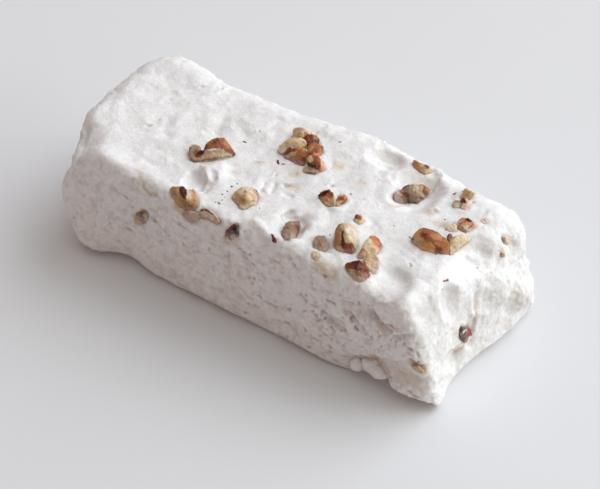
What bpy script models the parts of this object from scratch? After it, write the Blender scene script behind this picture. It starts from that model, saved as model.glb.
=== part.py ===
"""A pecan divinity roll: a log of whipped white candy with chopped pecans set in it.

Metres, +Z up. +X runs along the log to its torn end, and +Y across it. The origin is the middle
of the log's underside. Places and sizes in the tables are millimetres, in the log's own frame.
"""

import math
import random
from collections import namedtuple

import bmesh
import bpy
from mathutils import Matrix, Vector, noise
from mathutils.bvhtree import BVHTree

MM = 0.001

# Driving dimensions of the log
LENGTH = 98 * MM
WIDTH = 40 * MM
HEIGHT = 28 * MM
TOP_RADIUS = 7 * MM
BASE_RADIUS = 3 * MM
GRID = 2.7 * MM

# The torn end leans back as it rises, more on the near side than on the far side
NEAR_LEAN = 10 * MM
FAR_LEAN = 2 * MM
LEAN_REACH = 26 * MM

# Broad swells and hollows of the hand-shaped log: centre, reach and push
SWELLS = (
    ((-50, -14, 12), 8, (-1.7, -1.1, 0)),
    ((-50, -18, 3), 7, (3, 0.6, 0.8)),
    ((-41, -21, 5), 7, (0, -2.6, 0)),
    ((-33, -20, 0), 6, (0, 1.6, 0.3)),
    ((-46, 6, 24), 13, (-3, 0, 1)),
    ((-40, 17, 27), 5.5, (0, 1, 1.2)),
    ((-52, -4, 24), 6, (-1.2, 0, 0.2)),
    ((-51, -19, 25), 8, (3, 2, -1)),
    ((8, 20, 26), 18, (0, 2, 1)),
    ((48, -7, 2), 12, (-3.5, 0, 0)),
    ((50, 12, 24), 12, (-1.5, 0, 0)),
)

# Smaller craters, dents and lumps of the finished surface: centre, reach along X, Y and Z, and push
DENTS = (
    ((23.2, 10.0, 28), (4.2, 6.0, 5), (0, 0, -2.6)),
    ((7.2, -12.6, 28), (3.4, 4.2, 4), (0, 0.6, -2.2)),
    ((-16.5, -13.0, 28), (3.5, 3.0, 4), (0, 0, -1.2)),
    ((-15.0, -9.0, 28), (2.5, 3.0, 4), (0, 0, 1.2)),
    ((13.2, 14.5, 29), (3.5, 3.0, 4), (0, 0, -1.2)),
    ((32.5, -16.0, 28), (5.0, 4.5, 5), (0, 1.0, -2.0)),
    ((42.5, 3.0, 26), (4.0, 4.0, 4), (-1.2, 0, -1.6)),
    ((42.2, -8.8, 22), (5.0, 2.5, 4), (-1.8, 0, 0)),
    ((40.0, -15.5, 24), (5.0, 3.0, 4), (-1.2, 0.6, -0.6)),
    ((44.5, -0.8, 18), (5.0, 1.8, 5), (-1.6, 0, 0)),
    ((44.7, -3.0, 10), (5.0, 1.8, 4), (-2.2, 0, 0)),
    ((44.4, -8.0, 6), (5.0, 2.0, 3), (-1.2, 0, 0)),
    ((48.0, 13.0, 8.5), (4.0, 4.0, 3.5), (1.6, 0.3, 0)),
    ((46.0, 7.0, 15), (4.0, 4.0, 4), (1.2, 0, 0)),
    ((29.8, -20.5, 3.0), (5.4, 5.0, 4.6), (0, 2.2, 0)),
    ((27.4, -18.0, 3.6), (1.9, 4.0, 1.9), (0, -1.4, 0)),
    ((31.7, -18.0, 4.8), (3.0, 4.0, 2.2), (0, -2.0, 0)),
    ((40.0, -20.0, 4.5), (4.0, 4.0, 3.0), (0, -0.9, 0)),
    ((40.0, -21.0, 0), (8.0, 5.0, 3.0), (0, 1.6, 1.2)),
    ((36.0, -20.0, 9.0), (8.0, 4.0, 1.8), (0, 1.0, 0)),
    ((21.8, -20.0, 14.6), (3.0, 4.0, 1.5), (0, 0.8, 0)),
    ((29.0, -20.0, 21.5), (4.0, 4.0, 2.0), (0, 1.0, 0)),
    ((-30.0, 20.0, 12), (9.0, 4.0, 5.0), (0, -1.0, 0)),
    ((12.0, 20.0, 9), (8.0, 4.0, 4.0), (0, -1.0, 0)),
    ((-52.0, 5.0, 12), (4.0, 6.0, 4.0), (1.4, 0, 0)),
)

# Overall unevenness, the crags of the torn end, and the height below which the candy rests flat
LUMP_SIZE = 9 * MM
LUMP_HEIGHT = 0.55 * MM
CRAG_SIZE = 6.5 * MM
CRAG_HEIGHT = 0.9 * MM
CRAG_SHARPNESS = 2.0
CRAG_START = 36 * MM
CRAG_FULL = 46 * MM
UNDERSIDE_FADE = 3 * MM
UNDERSIDE_FLAT = 0.4 * MM

# Chopped pecans. Each middle is found under or beside "near", where a line against "facing" meets
# the log, and then stands out by "lift". "turn" is about "facing", from the log's length, and
# "roll" about the piece's own length. A cut is a direction in the piece and a distance from its middle
Nut = namedtuple("Nut", "name facing near size turn roll lift cuts tone")
TOP = (0, 0, 1)
SHOULDER = (0, -0.6, 0.8)
NEAR = (0, -1, 0)
FAR = (0, 1, 0.1)
TORN = (1, 0, 0.15)
SMOOTH = (-1, 0, 0.1)
NUTS = (
    Nut("pecan_01", TOP, (-18.9, -4.6), (11.4, 6.4, 6.6), 36, -12, 0.9,
        (((0, -1, 0.3), 1.4), ((-0.6, 0.1, 0.8), 1.5), ((0.8, 0, 0.6), 2.9), ((0, 0.6, 0.8), 2.4)), "skin"),
    Nut("pecan_02", TOP, (-6.6, 10.9), (5.4, 3.6, 3.6), 30, 0, 0.8,
        (((0, -0.3, 1), 1.1), ((-1, 0, 0.3), 2.1)), "cream"),
    Nut("pecan_03", TOP, (-5.0, 5.9), (7.0, 3.8, 4.2), 76, 15, 1.0,
        (((0.2, 1, 0.5), 1.3), ((1, 0, 0.2), 2.8)), "tan"),
    Nut("pecan_04", TOP, (-1.4, 8.0), (5.0, 4.6, 4.4), 20, 10, 1.0,
        (((0.3, 0.3, 1), 1.4), ((0.9, -0.4, 0.3), 1.9)), "skin"),
    Nut("pecan_05", TOP, (1.1, 3.3), (5.6, 4.2, 4.4), 14, -15, 0.9,
        (((0.2, -1, 0.4), 1.3), ((-0.7, 0, 0.7), 1.6), ((1, 0.2, 0.3), 2.3)), "skin"),
    Nut("pecan_06", SHOULDER, (-17.2, -17.4, 26.4), (6.6, 5.0, 3.8), -20, 0, 0.3,
        (((0.3, 0.4, 1), 1.2), ((1, -0.5, 0), 2.6)), "yellow"),
    Nut("pecan_07", SHOULDER, (-10.1, -18.2, 25.7), (5.0, 2.2, 2.6), -8, 0, 0.4,
        (((0, 0.4, 1), 0.9),), "tan"),
    Nut("pecan_08", TOP, (-5.6, -11.2), (6.0, 5.2, 4.0), 20, 0, -0.5,
        (((1, 0.2, 0.2), 2.5),), "cream"),
    Nut("pecan_09", TOP, (8.3, -2.2), (4.2, 3.0, 3.2), -25, 20, 0.3,
        (((0, -0.8, 0.6), 0.9), ((1, 0, 0), 1.7)), "skin"),
    Nut("pecan_10", TOP, (11.9, -1.9), (3.8, 2.6, 2.8), 62, 0, 0.2,
        (((0, -0.7, 0.7), 0.8),), "tan"),
    Nut("pecan_11", TOP, (22.6, 9.4), (7.0, 4.6, 4.6), 32, 0, 1.0,
        (((0.2, -0.5, 1), 1.5), ((1, 0.4, 0.2), 2.8), ((-1, 0.3, 0.3), 2.9)), "grey"),
    Nut("pecan_12", TOP, (20.3, 16.6), (4.8, 3.0, 3.2), -12, -20, 0.4,
        (((0, -0.5, 1), 0.9), ((1, 0, 0.3), 2.0)), "tan"),
    Nut("pecan_13", TOP, (32.5, 11.7), (4.0, 3.4, 3.0), 30, 0, 0.1,
        (((0.2, 0, 1), 1.1),), "cream"),
    Nut("pecan_14", TOP, (33.2, -1.5), (8.2, 4.6, 4.4), 2, 15, 0.7,
        (((0, -1, 0.5), 1.5), ((1, 0.3, 0.2), 3.4), ((-1, 0.3, 0.4), 3.3)), "skin"),
    Nut("pecan_15", TOP, (38.2, 0.5), (6.4, 4.2, 4.0), 70, 0, 0.7,
        (((0, -1, 0.2), 1.4), ((1, 0, 0.4), 2.6), ((0, 0.2, 1), 1.3)), "cream"),
    Nut("pecan_16", TOP, (36.8, 6.4), (4.2, 3.4, 3.4), 25, 0, 0.5,
        (((0.3, -0.4, 1), 1.1), ((1, 0, 0), 1.8)), "skin"),
    Nut("pecan_17", TOP, (18.7, -10.8), (6.2, 4.6, 5.8), 74, 0, 1.0,
        (((0.6, -0.9, 0.4), 1.9), ((-1, -0.2, 0), 2.5)), "tan"),
    Nut("pecan_18", TOP, (23.9, -9.9), (6.2, 3.6, 4.0), 76, -10, 0.8,
        (((0, -1, 0.6), 1.2), ((1, 0, 0.3), 2.7)), "tan"),
    Nut("pecan_19", SHOULDER, (25.2, -16.2, 27.2), (6.4, 4.4, 4.2), 4, 0, 0.4,
        (((0.1, -0.2, 1), 1.2), ((-1, 0.5, 0.3), 2.6), ((1, -0.5, 0.2), 2.7)), "skin"),
    Nut("pecan_20", TOP, (26.3, -12.7), (4.2, 3.8, 3.8), 30, 0, 0.5,
        (((0.3, -0.8, 0.6), 1.5),), "cream"),
    Nut("pecan_21", TOP, (15.2, -14.0), (4.0, 3.8, 3.2), 20, 0, -0.2,
        (((0, -0.3, 1), 1.0),), "grey"),
    Nut("pecan_22", TOP, (7.3, -13.2), (5.6, 4.0, 3.8), 92, 15, 0.5,
        (((0, -0.9, 0.7), 1.0), ((1, 0.2, 0.2), 2.2)), "grey"),
    Nut("pecan_23", SHOULDER, (-4.0, -19.1, 24.4), (4.4, 3.4, 3.0), 40, 0, 0.1,
        (((0.4, 0, 1), 0.9),), "skin"),
    Nut("pecan_24", TORN, (45, -4.4, 9.8), (3.6, 3.0, 3.2), 60, 0, 0.3,
        (((0.2, -0.5, 1), 1.0), ((0.2, 1, 0.3), 1.1)), "dark"),
    Nut("pecan_25", FAR, (-31.0, 20, 17.0), (7.0, 4.8, 4.0), 20, 0, 0.4,
        (((0, 0.3, 1), 1.2), ((1, 0, 0.3), 2.8)), "skin"),
    Nut("pecan_26", FAR, (-6.0, 20, 10.5), (5.6, 4.2, 3.8), -50, 0, 0.2,
        (((0.2, 0, 1), 1.1),), "tan"),
    Nut("pecan_27", FAR, (19.0, 20, 19.0), (6.4, 4.0, 3.8), 35, 0, 0.4,
        (((0, -0.6, 1), 1.0), ((-1, 0, 0.2), 2.6)), "skin"),
    Nut("pecan_28", FAR, (36.0, 20, 9.0), (4.8, 4.0, 3.4), 10, 0, 0.1,
        (((0.3, 0.2, 1), 1.0),), "cream"),
    Nut("pecan_29", SMOOTH, (-52, 4.0, 15.0), (6.0, 4.4, 3.8), 25, 0, 0.3,
        (((0, 0.4, 1), 1.1), ((1, 0.2, 0.2), 2.4)), "skin"),
    Nut("pecan_30", SMOOTH, (-52, -9.0, 8.0), (4.4, 3.8, 3.2), -30, 0, 0.0,
        (((0.3, 0, 1), 0.9),), "cream"),
)
NUT_GRID = 1.6 * MM
NUT_ROUNDNESS = 0.8
NUT_UNEVENNESS = 0.22
NUT_WAVES = 1.6
NUT_SPREAD = 9.7
POCKET_GAP = 0.3 * MM
SHARPEST_SHELL = 1.8
SLIVER = 0.03 * MM

# Bits too small to be pieces of their own, fused to the candy: place, facing and length
BITS = (
    ((-14.0, -19.0, 24.4), SHOULDER, 4.2),
    ((31.4, 17.0, 27.1), TOP, 2.8),
    ((17.7, -4.2, 28.2), TOP, 2.8),
    ((15.4, -17.0, 26.8), SHOULDER, 2.4),
    ((19.4, -18.0, 26.0), SHOULDER, 3.4),
    ((5.6, -17.4, 26.4), SHOULDER, 2.6),
    ((-26.6, -20.0, 17.4), NEAR, 3.2),
    ((-25.4, -17.9, 26.0), SHOULDER, 4.8),
    ((41.0, -19.6, 12.0), NEAR, 2.8),
    ((44.1, 13.0, 23.8), TORN, 4.0),
    ((44.3, 9.2, 22.0), TORN, 2.2),
    ((48.0, 13.0, 8.0), TORN, 5.6),
    ((39.0, 10.3, 27.9), TOP, 3.0),
    ((33.6, 4.9, 28.0), TOP, 2.6),
    ((46.0, 3.0, 6.0), TORN, 3.0),
    ((-18.0, 20.0, 6.0), FAR, 3.4),
    ((8.0, 20.0, 21.0), FAR, 3.0),
    ((27.0, 20.0, 13.0), FAR, 2.6),
    ((-42.0, 20.0, 9.0), FAR, 3.0),
    ((-52.0, -2.0, 22.0), SMOOTH, 3.0),
    ((-52.0, 12.0, 8.0), SMOOTH, 3.2),
)
BIT_SIDES = 6
BIT_RINGS = 4
BIT_WIDTH = 0.75
BIT_SINK = 0.12
BIT_TURN = 60

# Finishes: colour and roughness
FINISHES = {
    "candy": ((0.86, 0.85, 0.83), 0.75),
    "skin": ((0.30, 0.12, 0.05), 0.45),
    "dark": ((0.10, 0.03, 0.02), 0.30),
    "tan": ((0.62, 0.40, 0.20), 0.55),
    "yellow": ((0.62, 0.45, 0.20), 0.55),
    "cream": ((0.78, 0.64, 0.45), 0.55),
    "grey": ((0.45, 0.34, 0.26), 0.60),
}


def smooth(low, high, value):
    """0 below low, 1 above high, and an S-shaped ramp between them."""
    t = min(max((value - low) / (high - low), 0.0), 1.0)
    return t * t * (3 - 2 * t)


def block_grid(size, step):
    """A closed block about the origin, with every face cut into squares about one step wide."""
    block = bmesh.new()
    bmesh.ops.create_cube(block, size=1.0)
    for vertex in block.verts:
        vertex.co = Vector(vertex.co[axis] * size[axis] for axis in range(3))
    for axis in range(3):
        cells = max(round(size[axis] / step), 2)
        normal = Vector(float(axis == other) for other in range(3))
        for cell in range(1, cells):
            place = normal * size[axis] * (cell / cells - 0.5)
            everything = block.verts[:] + block.edges[:] + block.faces[:]
            bmesh.ops.bisect_plane(block, geom=everything, plane_co=place, plane_no=normal)
    return block


def rounded(point):
    """The point of a block's surface moved onto a log with soft top edges and tighter base edges."""
    half = Vector((LENGTH, WIDTH, HEIGHT)) / 2
    radius = BASE_RADIUS + (TOP_RADIUS - BASE_RADIUS) * smooth(-half.z, half.z, point.z)
    core = Vector(min(max(point[axis], radius - half[axis]), half[axis] - radius) for axis in range(3))
    outward = (point - core).normalized()
    return core + outward * radius + Vector((0, 0, half.z)), outward


def swelled(point):
    """The point pushed by each broad swell, least far from the swell's centre."""
    moved = point.copy()
    for centre, reach, push in SWELLS:
        apart = (point - Vector(centre) * MM).length / (reach * MM)
        moved += Vector(push) * MM * math.exp(-apart * apart)
    return moved


def leaned(point):
    """The point moved back with the slope of the torn end."""
    nearness = 0.5 - point.y / WIDTH
    lean = FAR_LEAN + (NEAR_LEAN - FAR_LEAN) * nearness
    share = smooth(LENGTH / 2 - LEAN_REACH, LENGTH / 2, point.x)
    return point - Vector((lean * share * point.z / HEIGHT, 0, 0))


def dented(point):
    """The point pushed by each crater, dent or lump, evenly inside it and fading at its rim."""
    moved = point.copy()
    for centre, reach, push in DENTS:
        offset = point / MM - Vector(centre)
        apart = Vector(offset[axis] / reach[axis] for axis in range(3)).length
        moved += Vector(push) * MM * math.exp(-apart**4)
    return moved


def roughened(point, outward):
    """The point moved out or in by the candy's unevenness and by the torn end's crags."""
    freedom = smooth(0, UNDERSIDE_FADE, point.z)
    lump = noise.noise(point / LUMP_SIZE) * LUMP_HEIGHT
    ridge = 0.5 - CRAG_SHARPNESS * abs(noise.noise(point / CRAG_SIZE))
    crag = ridge * CRAG_HEIGHT * smooth(CRAG_START, CRAG_FULL, point.x)
    return point + outward * (lump + crag) * freedom


def log_body():
    """The white log on its own, with a flat underside."""
    body = block_grid((LENGTH, WIDTH, HEIGHT), GRID)
    for vertex in body.verts:
        point, outward = rounded(vertex.co)
        point = leaned(swelled(point))
        point = dented(roughened(point, outward))
        point.z = point.z if point.z > UNDERSIDE_FLAT else 0.0
        vertex.co = point
    underside = [face for face in body.faces if all(vertex.co.z == 0 for vertex in face.verts)]
    bmesh.ops.dissolve_faces(body, faces=underside, use_verts=True)
    return made_object("divinity_log", body, "candy")


def finish(name):
    """The material of that finish, made at its first use."""
    material = bpy.data.materials.get(name)
    if material is None:
        colour, roughness = FINISHES[name]
        material = bpy.data.materials.new(name)
        material.use_nodes = True
        shader = material.node_tree.nodes["Principled BSDF"]
        shader.inputs["Base Color"].default_value = (*colour, 1)
        shader.inputs["Roughness"].default_value = roughness
        shader.inputs["Metallic"].default_value = 0
        material.diffuse_color = (*colour, 1)
    return material


def made_object(name, form, tone):
    """A new object of triangles from a bmesh, which is then freed."""
    bmesh.ops.triangulate(form, faces=form.faces[:])
    mesh = bpy.data.meshes.new(name)
    form.to_mesh(mesh)
    form.free()
    mesh.materials.append(finish(tone))
    return bpy.data.objects.new(name, mesh)


def seat(surface, near, facing):
    """Where a line coming in against "facing" through "near" meets the candy."""
    outward = Vector(facing).normalized()
    start = Vector((*near, HEIGHT / MM)[:3]) * MM + outward * WIDTH
    place, _, _, _ = surface.ray_cast(start, -outward)
    return place


def facing_turn(facing, turn, roll):
    """The rotation that lays a piece's length along the log and its top towards "facing"."""
    up = Vector(facing).normalized()
    along = Vector((1, 0, 0)) if abs(up.x) < 0.8 else Vector((0, 1, 0))
    across = up.cross(along).normalized()
    frame = Matrix((across.cross(up), across, up)).transposed()
    spin = Matrix.Rotation(math.radians(turn), 3, "Z") @ Matrix.Rotation(math.radians(roll), 3, "X")
    return (frame @ spin).to_4x4()


def break_off(piece, direction, distance):
    """Cuts the piece flat across, that far from its middle, and closes the cut."""
    everything = piece.verts[:] + piece.edges[:] + piece.faces[:]
    cut = bmesh.ops.bisect_plane(
        piece, geom=everything, plane_co=direction * distance, plane_no=direction, clear_outer=True
    )
    rim = [part for part in cut["geom_cut"] if isinstance(part, bmesh.types.BMEdge)]
    bmesh.ops.edgeloop_fill(piece, edges=rim)


def nut_piece(nut, number, surface):
    """One chopped pecan: an uneven round block, broken flat by its cuts, where it lies in the log."""
    size = Vector(nut.size) * MM
    piece = block_grid(size, NUT_GRID)
    for vertex in piece.verts:
        share = Vector(2 * vertex.co[axis] / size[axis] for axis in range(3))
        ball = share.normalized()
        wave = noise.noise(ball * NUT_WAVES + Vector((NUT_SPREAD * number, 0, 0)))
        shaped = share.lerp(ball, NUT_ROUNDNESS) * (1 + NUT_UNEVENNESS * wave)
        vertex.co = Vector(shaped[axis] * size[axis] / 2 for axis in range(3))
    for direction, distance in nut.cuts:
        break_off(piece, Vector(direction).normalized(), distance * MM)
    outward = Vector(nut.facing).normalized()
    middle = seat(surface, nut.near, nut.facing) + outward * nut.lift * MM
    piece.transform(Matrix.Translation(middle) @ facing_turn(nut.facing, nut.turn, nut.roll))
    return made_object(nut.name, piece, nut.tone)


def bit(number, near, facing, length, surface):
    """One small bit, half sunk in the candy."""
    size = length * MM
    piece = bmesh.new()
    bmesh.ops.create_uvsphere(piece, u_segments=BIT_SIDES, v_segments=BIT_RINGS, radius=size / 2)
    spin = random.Random(number).uniform(-BIT_TURN, BIT_TURN)
    middle = seat(surface, near, facing) - Vector(facing).normalized() * size * BIT_SINK
    flat = Matrix.Diagonal((1, BIT_WIDTH, BIT_WIDTH, 1))
    piece.transform(Matrix.Translation(middle) @ facing_turn(facing, spin, 0) @ flat)
    return made_object(f"bit_{number:02}", piece, "tan")


def grown(obj, gap):
    """A copy of a piece that is larger by the gap on every side."""
    shell = bmesh.new()
    shell.from_mesh(obj.data)
    shell.normal_update()
    moves = [
        vertex.normal * gap * min(vertex.calc_shell_factor(), SHARPEST_SHELL) for vertex in shell.verts
    ]
    for vertex, move in zip(shell.verts, moves):
        vertex.co += move
    return made_object(f"{obj.name}_pocket", shell, "candy")


def join_or_cut(obj, others, operation):
    """Applies one Boolean with all the others to the object, and removes them."""
    cutters = bpy.data.collections.new("cutters")
    bpy.context.scene.collection.children.link(cutters)
    for other in others:
        other.hide_render = True
        other.display_type = "WIRE"
        cutters.objects.link(other)
    modifier = obj.modifiers.new(operation.lower(), "BOOLEAN")
    modifier.operation = operation
    modifier.operand_type = "COLLECTION"
    modifier.collection = cutters
    seen = obj.evaluated_get(bpy.context.evaluated_depsgraph_get())
    result = bpy.data.meshes.new_from_object(seen)
    obj.modifiers.remove(modifier)
    obj.data = result
    result.name = obj.name
    for other in others:
        bpy.data.objects.remove(other)
    bpy.data.collections.remove(cutters)


def overlapping(first, second):
    """Whether the boxes of two objects meet."""
    boxes = [[vertex.co for vertex in obj.data.vertices] for obj in (first, second)]
    lows = [Vector(min(co[axis] for co in box) for axis in range(3)) for box in boxes]
    highs = [Vector(max(co[axis] for co in box) for axis in range(3)) for box in boxes]
    return all(lows[0][axis] < highs[1][axis] and lows[1][axis] < highs[0][axis] for axis in range(3))


def nestled(nuts):
    """Cuts each nut clear of the ones set before it."""
    for number, nut in enumerate(nuts):
        pockets = [grown(other, POCKET_GAP) for other in nuts[:number]]
        close = [pocket for pocket in pockets if overlapping(pocket, nut)]
        for pocket in pockets:
            if pocket not in close:
                bpy.data.objects.remove(pocket)
        if close:
            join_or_cut(nut, close, "DIFFERENCE")


def tidied(obj):
    """Drops loose scraps and slivers, and keeps the object's largest closed body."""
    form = bmesh.new()
    form.from_mesh(obj.data)
    bmesh.ops.dissolve_degenerate(form, edges=form.edges[:], dist=SLIVER)
    waiting = set(form.faces)
    bodies = []
    while waiting:
        body = {waiting.pop()}
        front = list(body)
        while front:
            beside = {face for edge in front.pop().edges for face in edge.link_faces}
            found = beside & waiting
            waiting -= found
            body |= found
            front.extend(found)
        bodies.append(body)
    bodies.sort(key=lambda body: sum(face.calc_area() for face in body))
    for scrap in bodies[:-1]:
        bmesh.ops.delete(form, geom=list(scrap), context="FACES")
    bmesh.ops.triangulate(form, faces=[face for face in form.faces if len(face.verts) > 3])
    form.to_mesh(obj.data)
    form.free()


def centred(pieces):
    """Moves everything so that the origin is the middle of the whole thing's underside."""
    corners = [vertex.co for piece in pieces for vertex in piece.data.vertices]
    lows = [min(co[axis] for co in corners) for axis in (0, 1)]
    highs = [max(co[axis] for co in corners) for axis in (0, 1)]
    middle = [(low + high) / 2 for low, high in zip(lows, highs)]
    shift = Matrix.Translation((-middle[0], -middle[1], 0))
    for piece in pieces:
        piece.data.transform(shift)
    return middle


def main():
    for obj in list(bpy.data.objects):
        bpy.data.objects.remove(obj)
    roll = bpy.data.collections.new("pecan_divinity_roll")
    bpy.context.scene.collection.children.link(roll)
    log = log_body()
    roll.objects.link(log)
    candy = bmesh.new()
    candy.from_mesh(log.data)
    surface = BVHTree.FromBMesh(candy)
    candy.free()
    nuts = [nut_piece(nut, number, surface) for number, nut in enumerate(NUTS)]
    for nut in nuts:
        roll.objects.link(nut)
    nestled(nuts)
    join_or_cut(log, [bit(number, *place, surface) for number, place in enumerate(BITS)], "UNION")
    join_or_cut(log, [grown(nut, POCKET_GAP) for nut in nuts], "DIFFERENCE")
    pieces = [log, *nuts]
    for piece in pieces:
        tidied(piece)
    roll["middle"] = centred(pieces)


main()
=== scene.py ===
"""The looks of a pecan divinity roll: whipped white candy set with chopped pecans, on a pale floor.

Places and sizes are millimetres in the log's own frame, where +X runs along it to the torn end and the
floor is at Z = 0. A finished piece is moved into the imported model's frame, in metres. Pixels are those of
the 600 x 489 photograph. They are read through one fitted camera, so what they place lies on the candy or
on a nut, wherever it is seen from.
"""

import math
import random
from collections import namedtuple

import bmesh
import bpy
import numpy as np
from mathutils import Matrix, Vector, noise
from mathutils.bvhtree import BVHTree
from mathutils.kdtree import KDTree


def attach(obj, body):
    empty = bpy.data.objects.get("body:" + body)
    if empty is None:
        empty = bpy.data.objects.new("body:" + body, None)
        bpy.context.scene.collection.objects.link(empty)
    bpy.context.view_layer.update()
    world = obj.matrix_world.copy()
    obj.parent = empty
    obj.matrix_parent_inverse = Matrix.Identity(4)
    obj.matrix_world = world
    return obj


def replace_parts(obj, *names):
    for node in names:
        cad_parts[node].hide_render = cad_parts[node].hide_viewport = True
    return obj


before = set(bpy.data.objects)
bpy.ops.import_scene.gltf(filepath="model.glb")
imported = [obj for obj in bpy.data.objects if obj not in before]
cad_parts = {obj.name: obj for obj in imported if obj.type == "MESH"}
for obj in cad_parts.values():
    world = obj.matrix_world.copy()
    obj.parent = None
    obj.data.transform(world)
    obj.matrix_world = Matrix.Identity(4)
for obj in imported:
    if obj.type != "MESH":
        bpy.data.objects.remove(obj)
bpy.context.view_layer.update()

MM = 0.001
TINY = 1e-9

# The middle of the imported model, in the log's own frame
MIDDLE = np.array((-0.7786, 0.3762, 0.0))

# The camera: its angles, its distance from the point it looks at, and its focal length in pixels
IMAGE = (600, 489)
AZIMUTH = math.radians(34.0)
ELEVATION = math.radians(44.3)
AIM = Vector((3.5, -4.5, 13.5))
DISTANCE = 423
FOCAL = 2000
SENSOR = 36
BACK = Vector((
    math.sin(AZIMUTH) * math.cos(ELEVATION), -math.cos(AZIMUTH) * math.cos(ELEVATION), math.sin(ELEVATION)
))
RIGHT = Vector((math.cos(AZIMUTH), math.sin(AZIMUTH), 0))
UP = BACK.cross(RIGHT)
EYE = AIM + BACK * DISTANCE

# Driving sizes of the log, with the swells and dents of its hand-shaped form, as its solid has them.
# Here and below, a value named NOISE holds a size, and a shift that sets the pattern apart from others
SIZE = np.array((98.0, 40.0, 28.0))
TOP_RADIUS = 7
NEAR_TOP_RADIUS = 3.0
BASE_RADIUS = 3
GRID = 0.26
MOST_TRIANGLES = 196000
NEAR_LEAN = 10
FAR_LEAN = 2
LEAN_REACH = 26
SWELLS = (
    ((-50, -14, 12), 8, (-1.7, -1.1, 0)),
    ((-50, -18, 3), 7, (3, 0.6, 0.8)),
    ((-41, -21, 5), 7, (0, -2.6, 0)),
    ((-33, -20, 0), 6, (0, 1.6, 0.3)),
    ((-46, 6, 24), 13, (-3, 0, 1)),
    ((-40, 17, 27), 5.5, (0, 1, 1.2)),
    ((-52, -4, 24), 6, (-1.2, 0, 0.2)),
    ((-51, -19, 25), 8, (3, 2, -1)),
    ((8, 20, 26), 18, (0, 2, 1)),
    ((48, -7, 2), 12, (-3.5, 0, 0)),
    ((50, 12, 24), 12, (-1.5, 0, 0)),
)
DENTS = (
    ((23.2, 10.0, 28), (4.2, 6.0, 5), (0, 0, -2.6)),
    ((7.2, -12.6, 28), (3.0, 3.8, 4), (0, 0.6, -1.8)),
    ((-16.5, -13.0, 28), (3.5, 3.0, 4), (0, 0, -1.2)),
    ((-15.0, -9.0, 28), (2.5, 3.0, 4), (0, 0, 1.2)),
    ((13.2, 14.5, 29), (3.5, 3.0, 4), (0, 0, -1.2)),
    ((32.5, -16.0, 28), (3.8, 4.0, 5), (0, 0.8, -1.7)),
    ((42.5, 3.0, 26), (4.0, 4.0, 4), (-1.2, 0, -1.6)),
    ((42.2, -8.8, 22), (5.0, 2.5, 4), (-1.8, 0, 0)),
    ((40.0, -15.5, 24), (5.0, 3.0, 4), (-0.5, 0.3, -0.3)),
    ((44.5, -0.8, 18), (5.0, 1.4, 5), (-0.6, 0, 0)),
    ((44.7, -3.0, 10), (5.0, 1.5, 4), (-1.2, 0, 0)),
    ((44.4, -8.0, 6), (5.0, 2.0, 3), (-1.2, 0, 0)),
    ((48.0, 13.0, 8.5), (4.0, 4.0, 3.5), (1.6, 0.3, 0)),
    ((46.0, 7.0, 15), (4.0, 4.0, 4), (1.2, 0, 0)),
    ((29.8, -20.5, 3.0), (5.2, 5.0, 4.6), (0, 2.0, 0)),
    ((33.9, -19.0, 1.5), (1.5, 4.0, 4.5), (0, 1.0, 0)),
    ((36.4, -19.0, 0.0), (2.6, 4.0, 3.0), (0, 1.0, 0.4)),
    ((40.0, -20.0, 4.5), (4.0, 4.0, 3.0), (0, -0.9, 0)),
    ((40.0, -21.0, 0), (8.0, 5.0, 3.0), (0, 1.6, 1.2)),
    ((36.0, -20.0, 9.0), (8.0, 4.0, 1.8), (0, 1.0, 0)),
    ((21.8, -20.0, 14.6), (3.0, 4.0, 1.5), (0, 0.8, 0)),
    ((29.0, -20.0, 21.5), (4.0, 4.0, 2.0), (0, 1.0, 0)),
    ((-30.0, 20.0, 12), (9.0, 4.0, 5.0), (0, -1.0, 0)),
    ((12.0, 20.0, 9), (8.0, 4.0, 4.0), (0, -1.0, 0)),
    ((-47.5, -18.5, 27), (6.8, 8.6, 7.5), (-0.8, -0.3, -2.6)),
    ((-52.0, 5.0, 12), (4.0, 6.0, 4.0), (1.4, 0, 0)),
)
LUMP_SIZE = 9
LUMP_HEIGHT = 0.55
CRAG_SIZE = 6.5
CRAG_HEIGHT = 0.55
CRAG_MIDDLE = 0.5
CRAG_SHARPNESS = 2.0
CRAG_START = 36
CRAG_FULL = 46
UNDERSIDE_FADE = 3
UNDERSIDE_FLAT = 0.4
BASE_EDGE_NOISE = (6.0, 3.3)
BASE_EDGE_WAVE = 0.7

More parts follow.
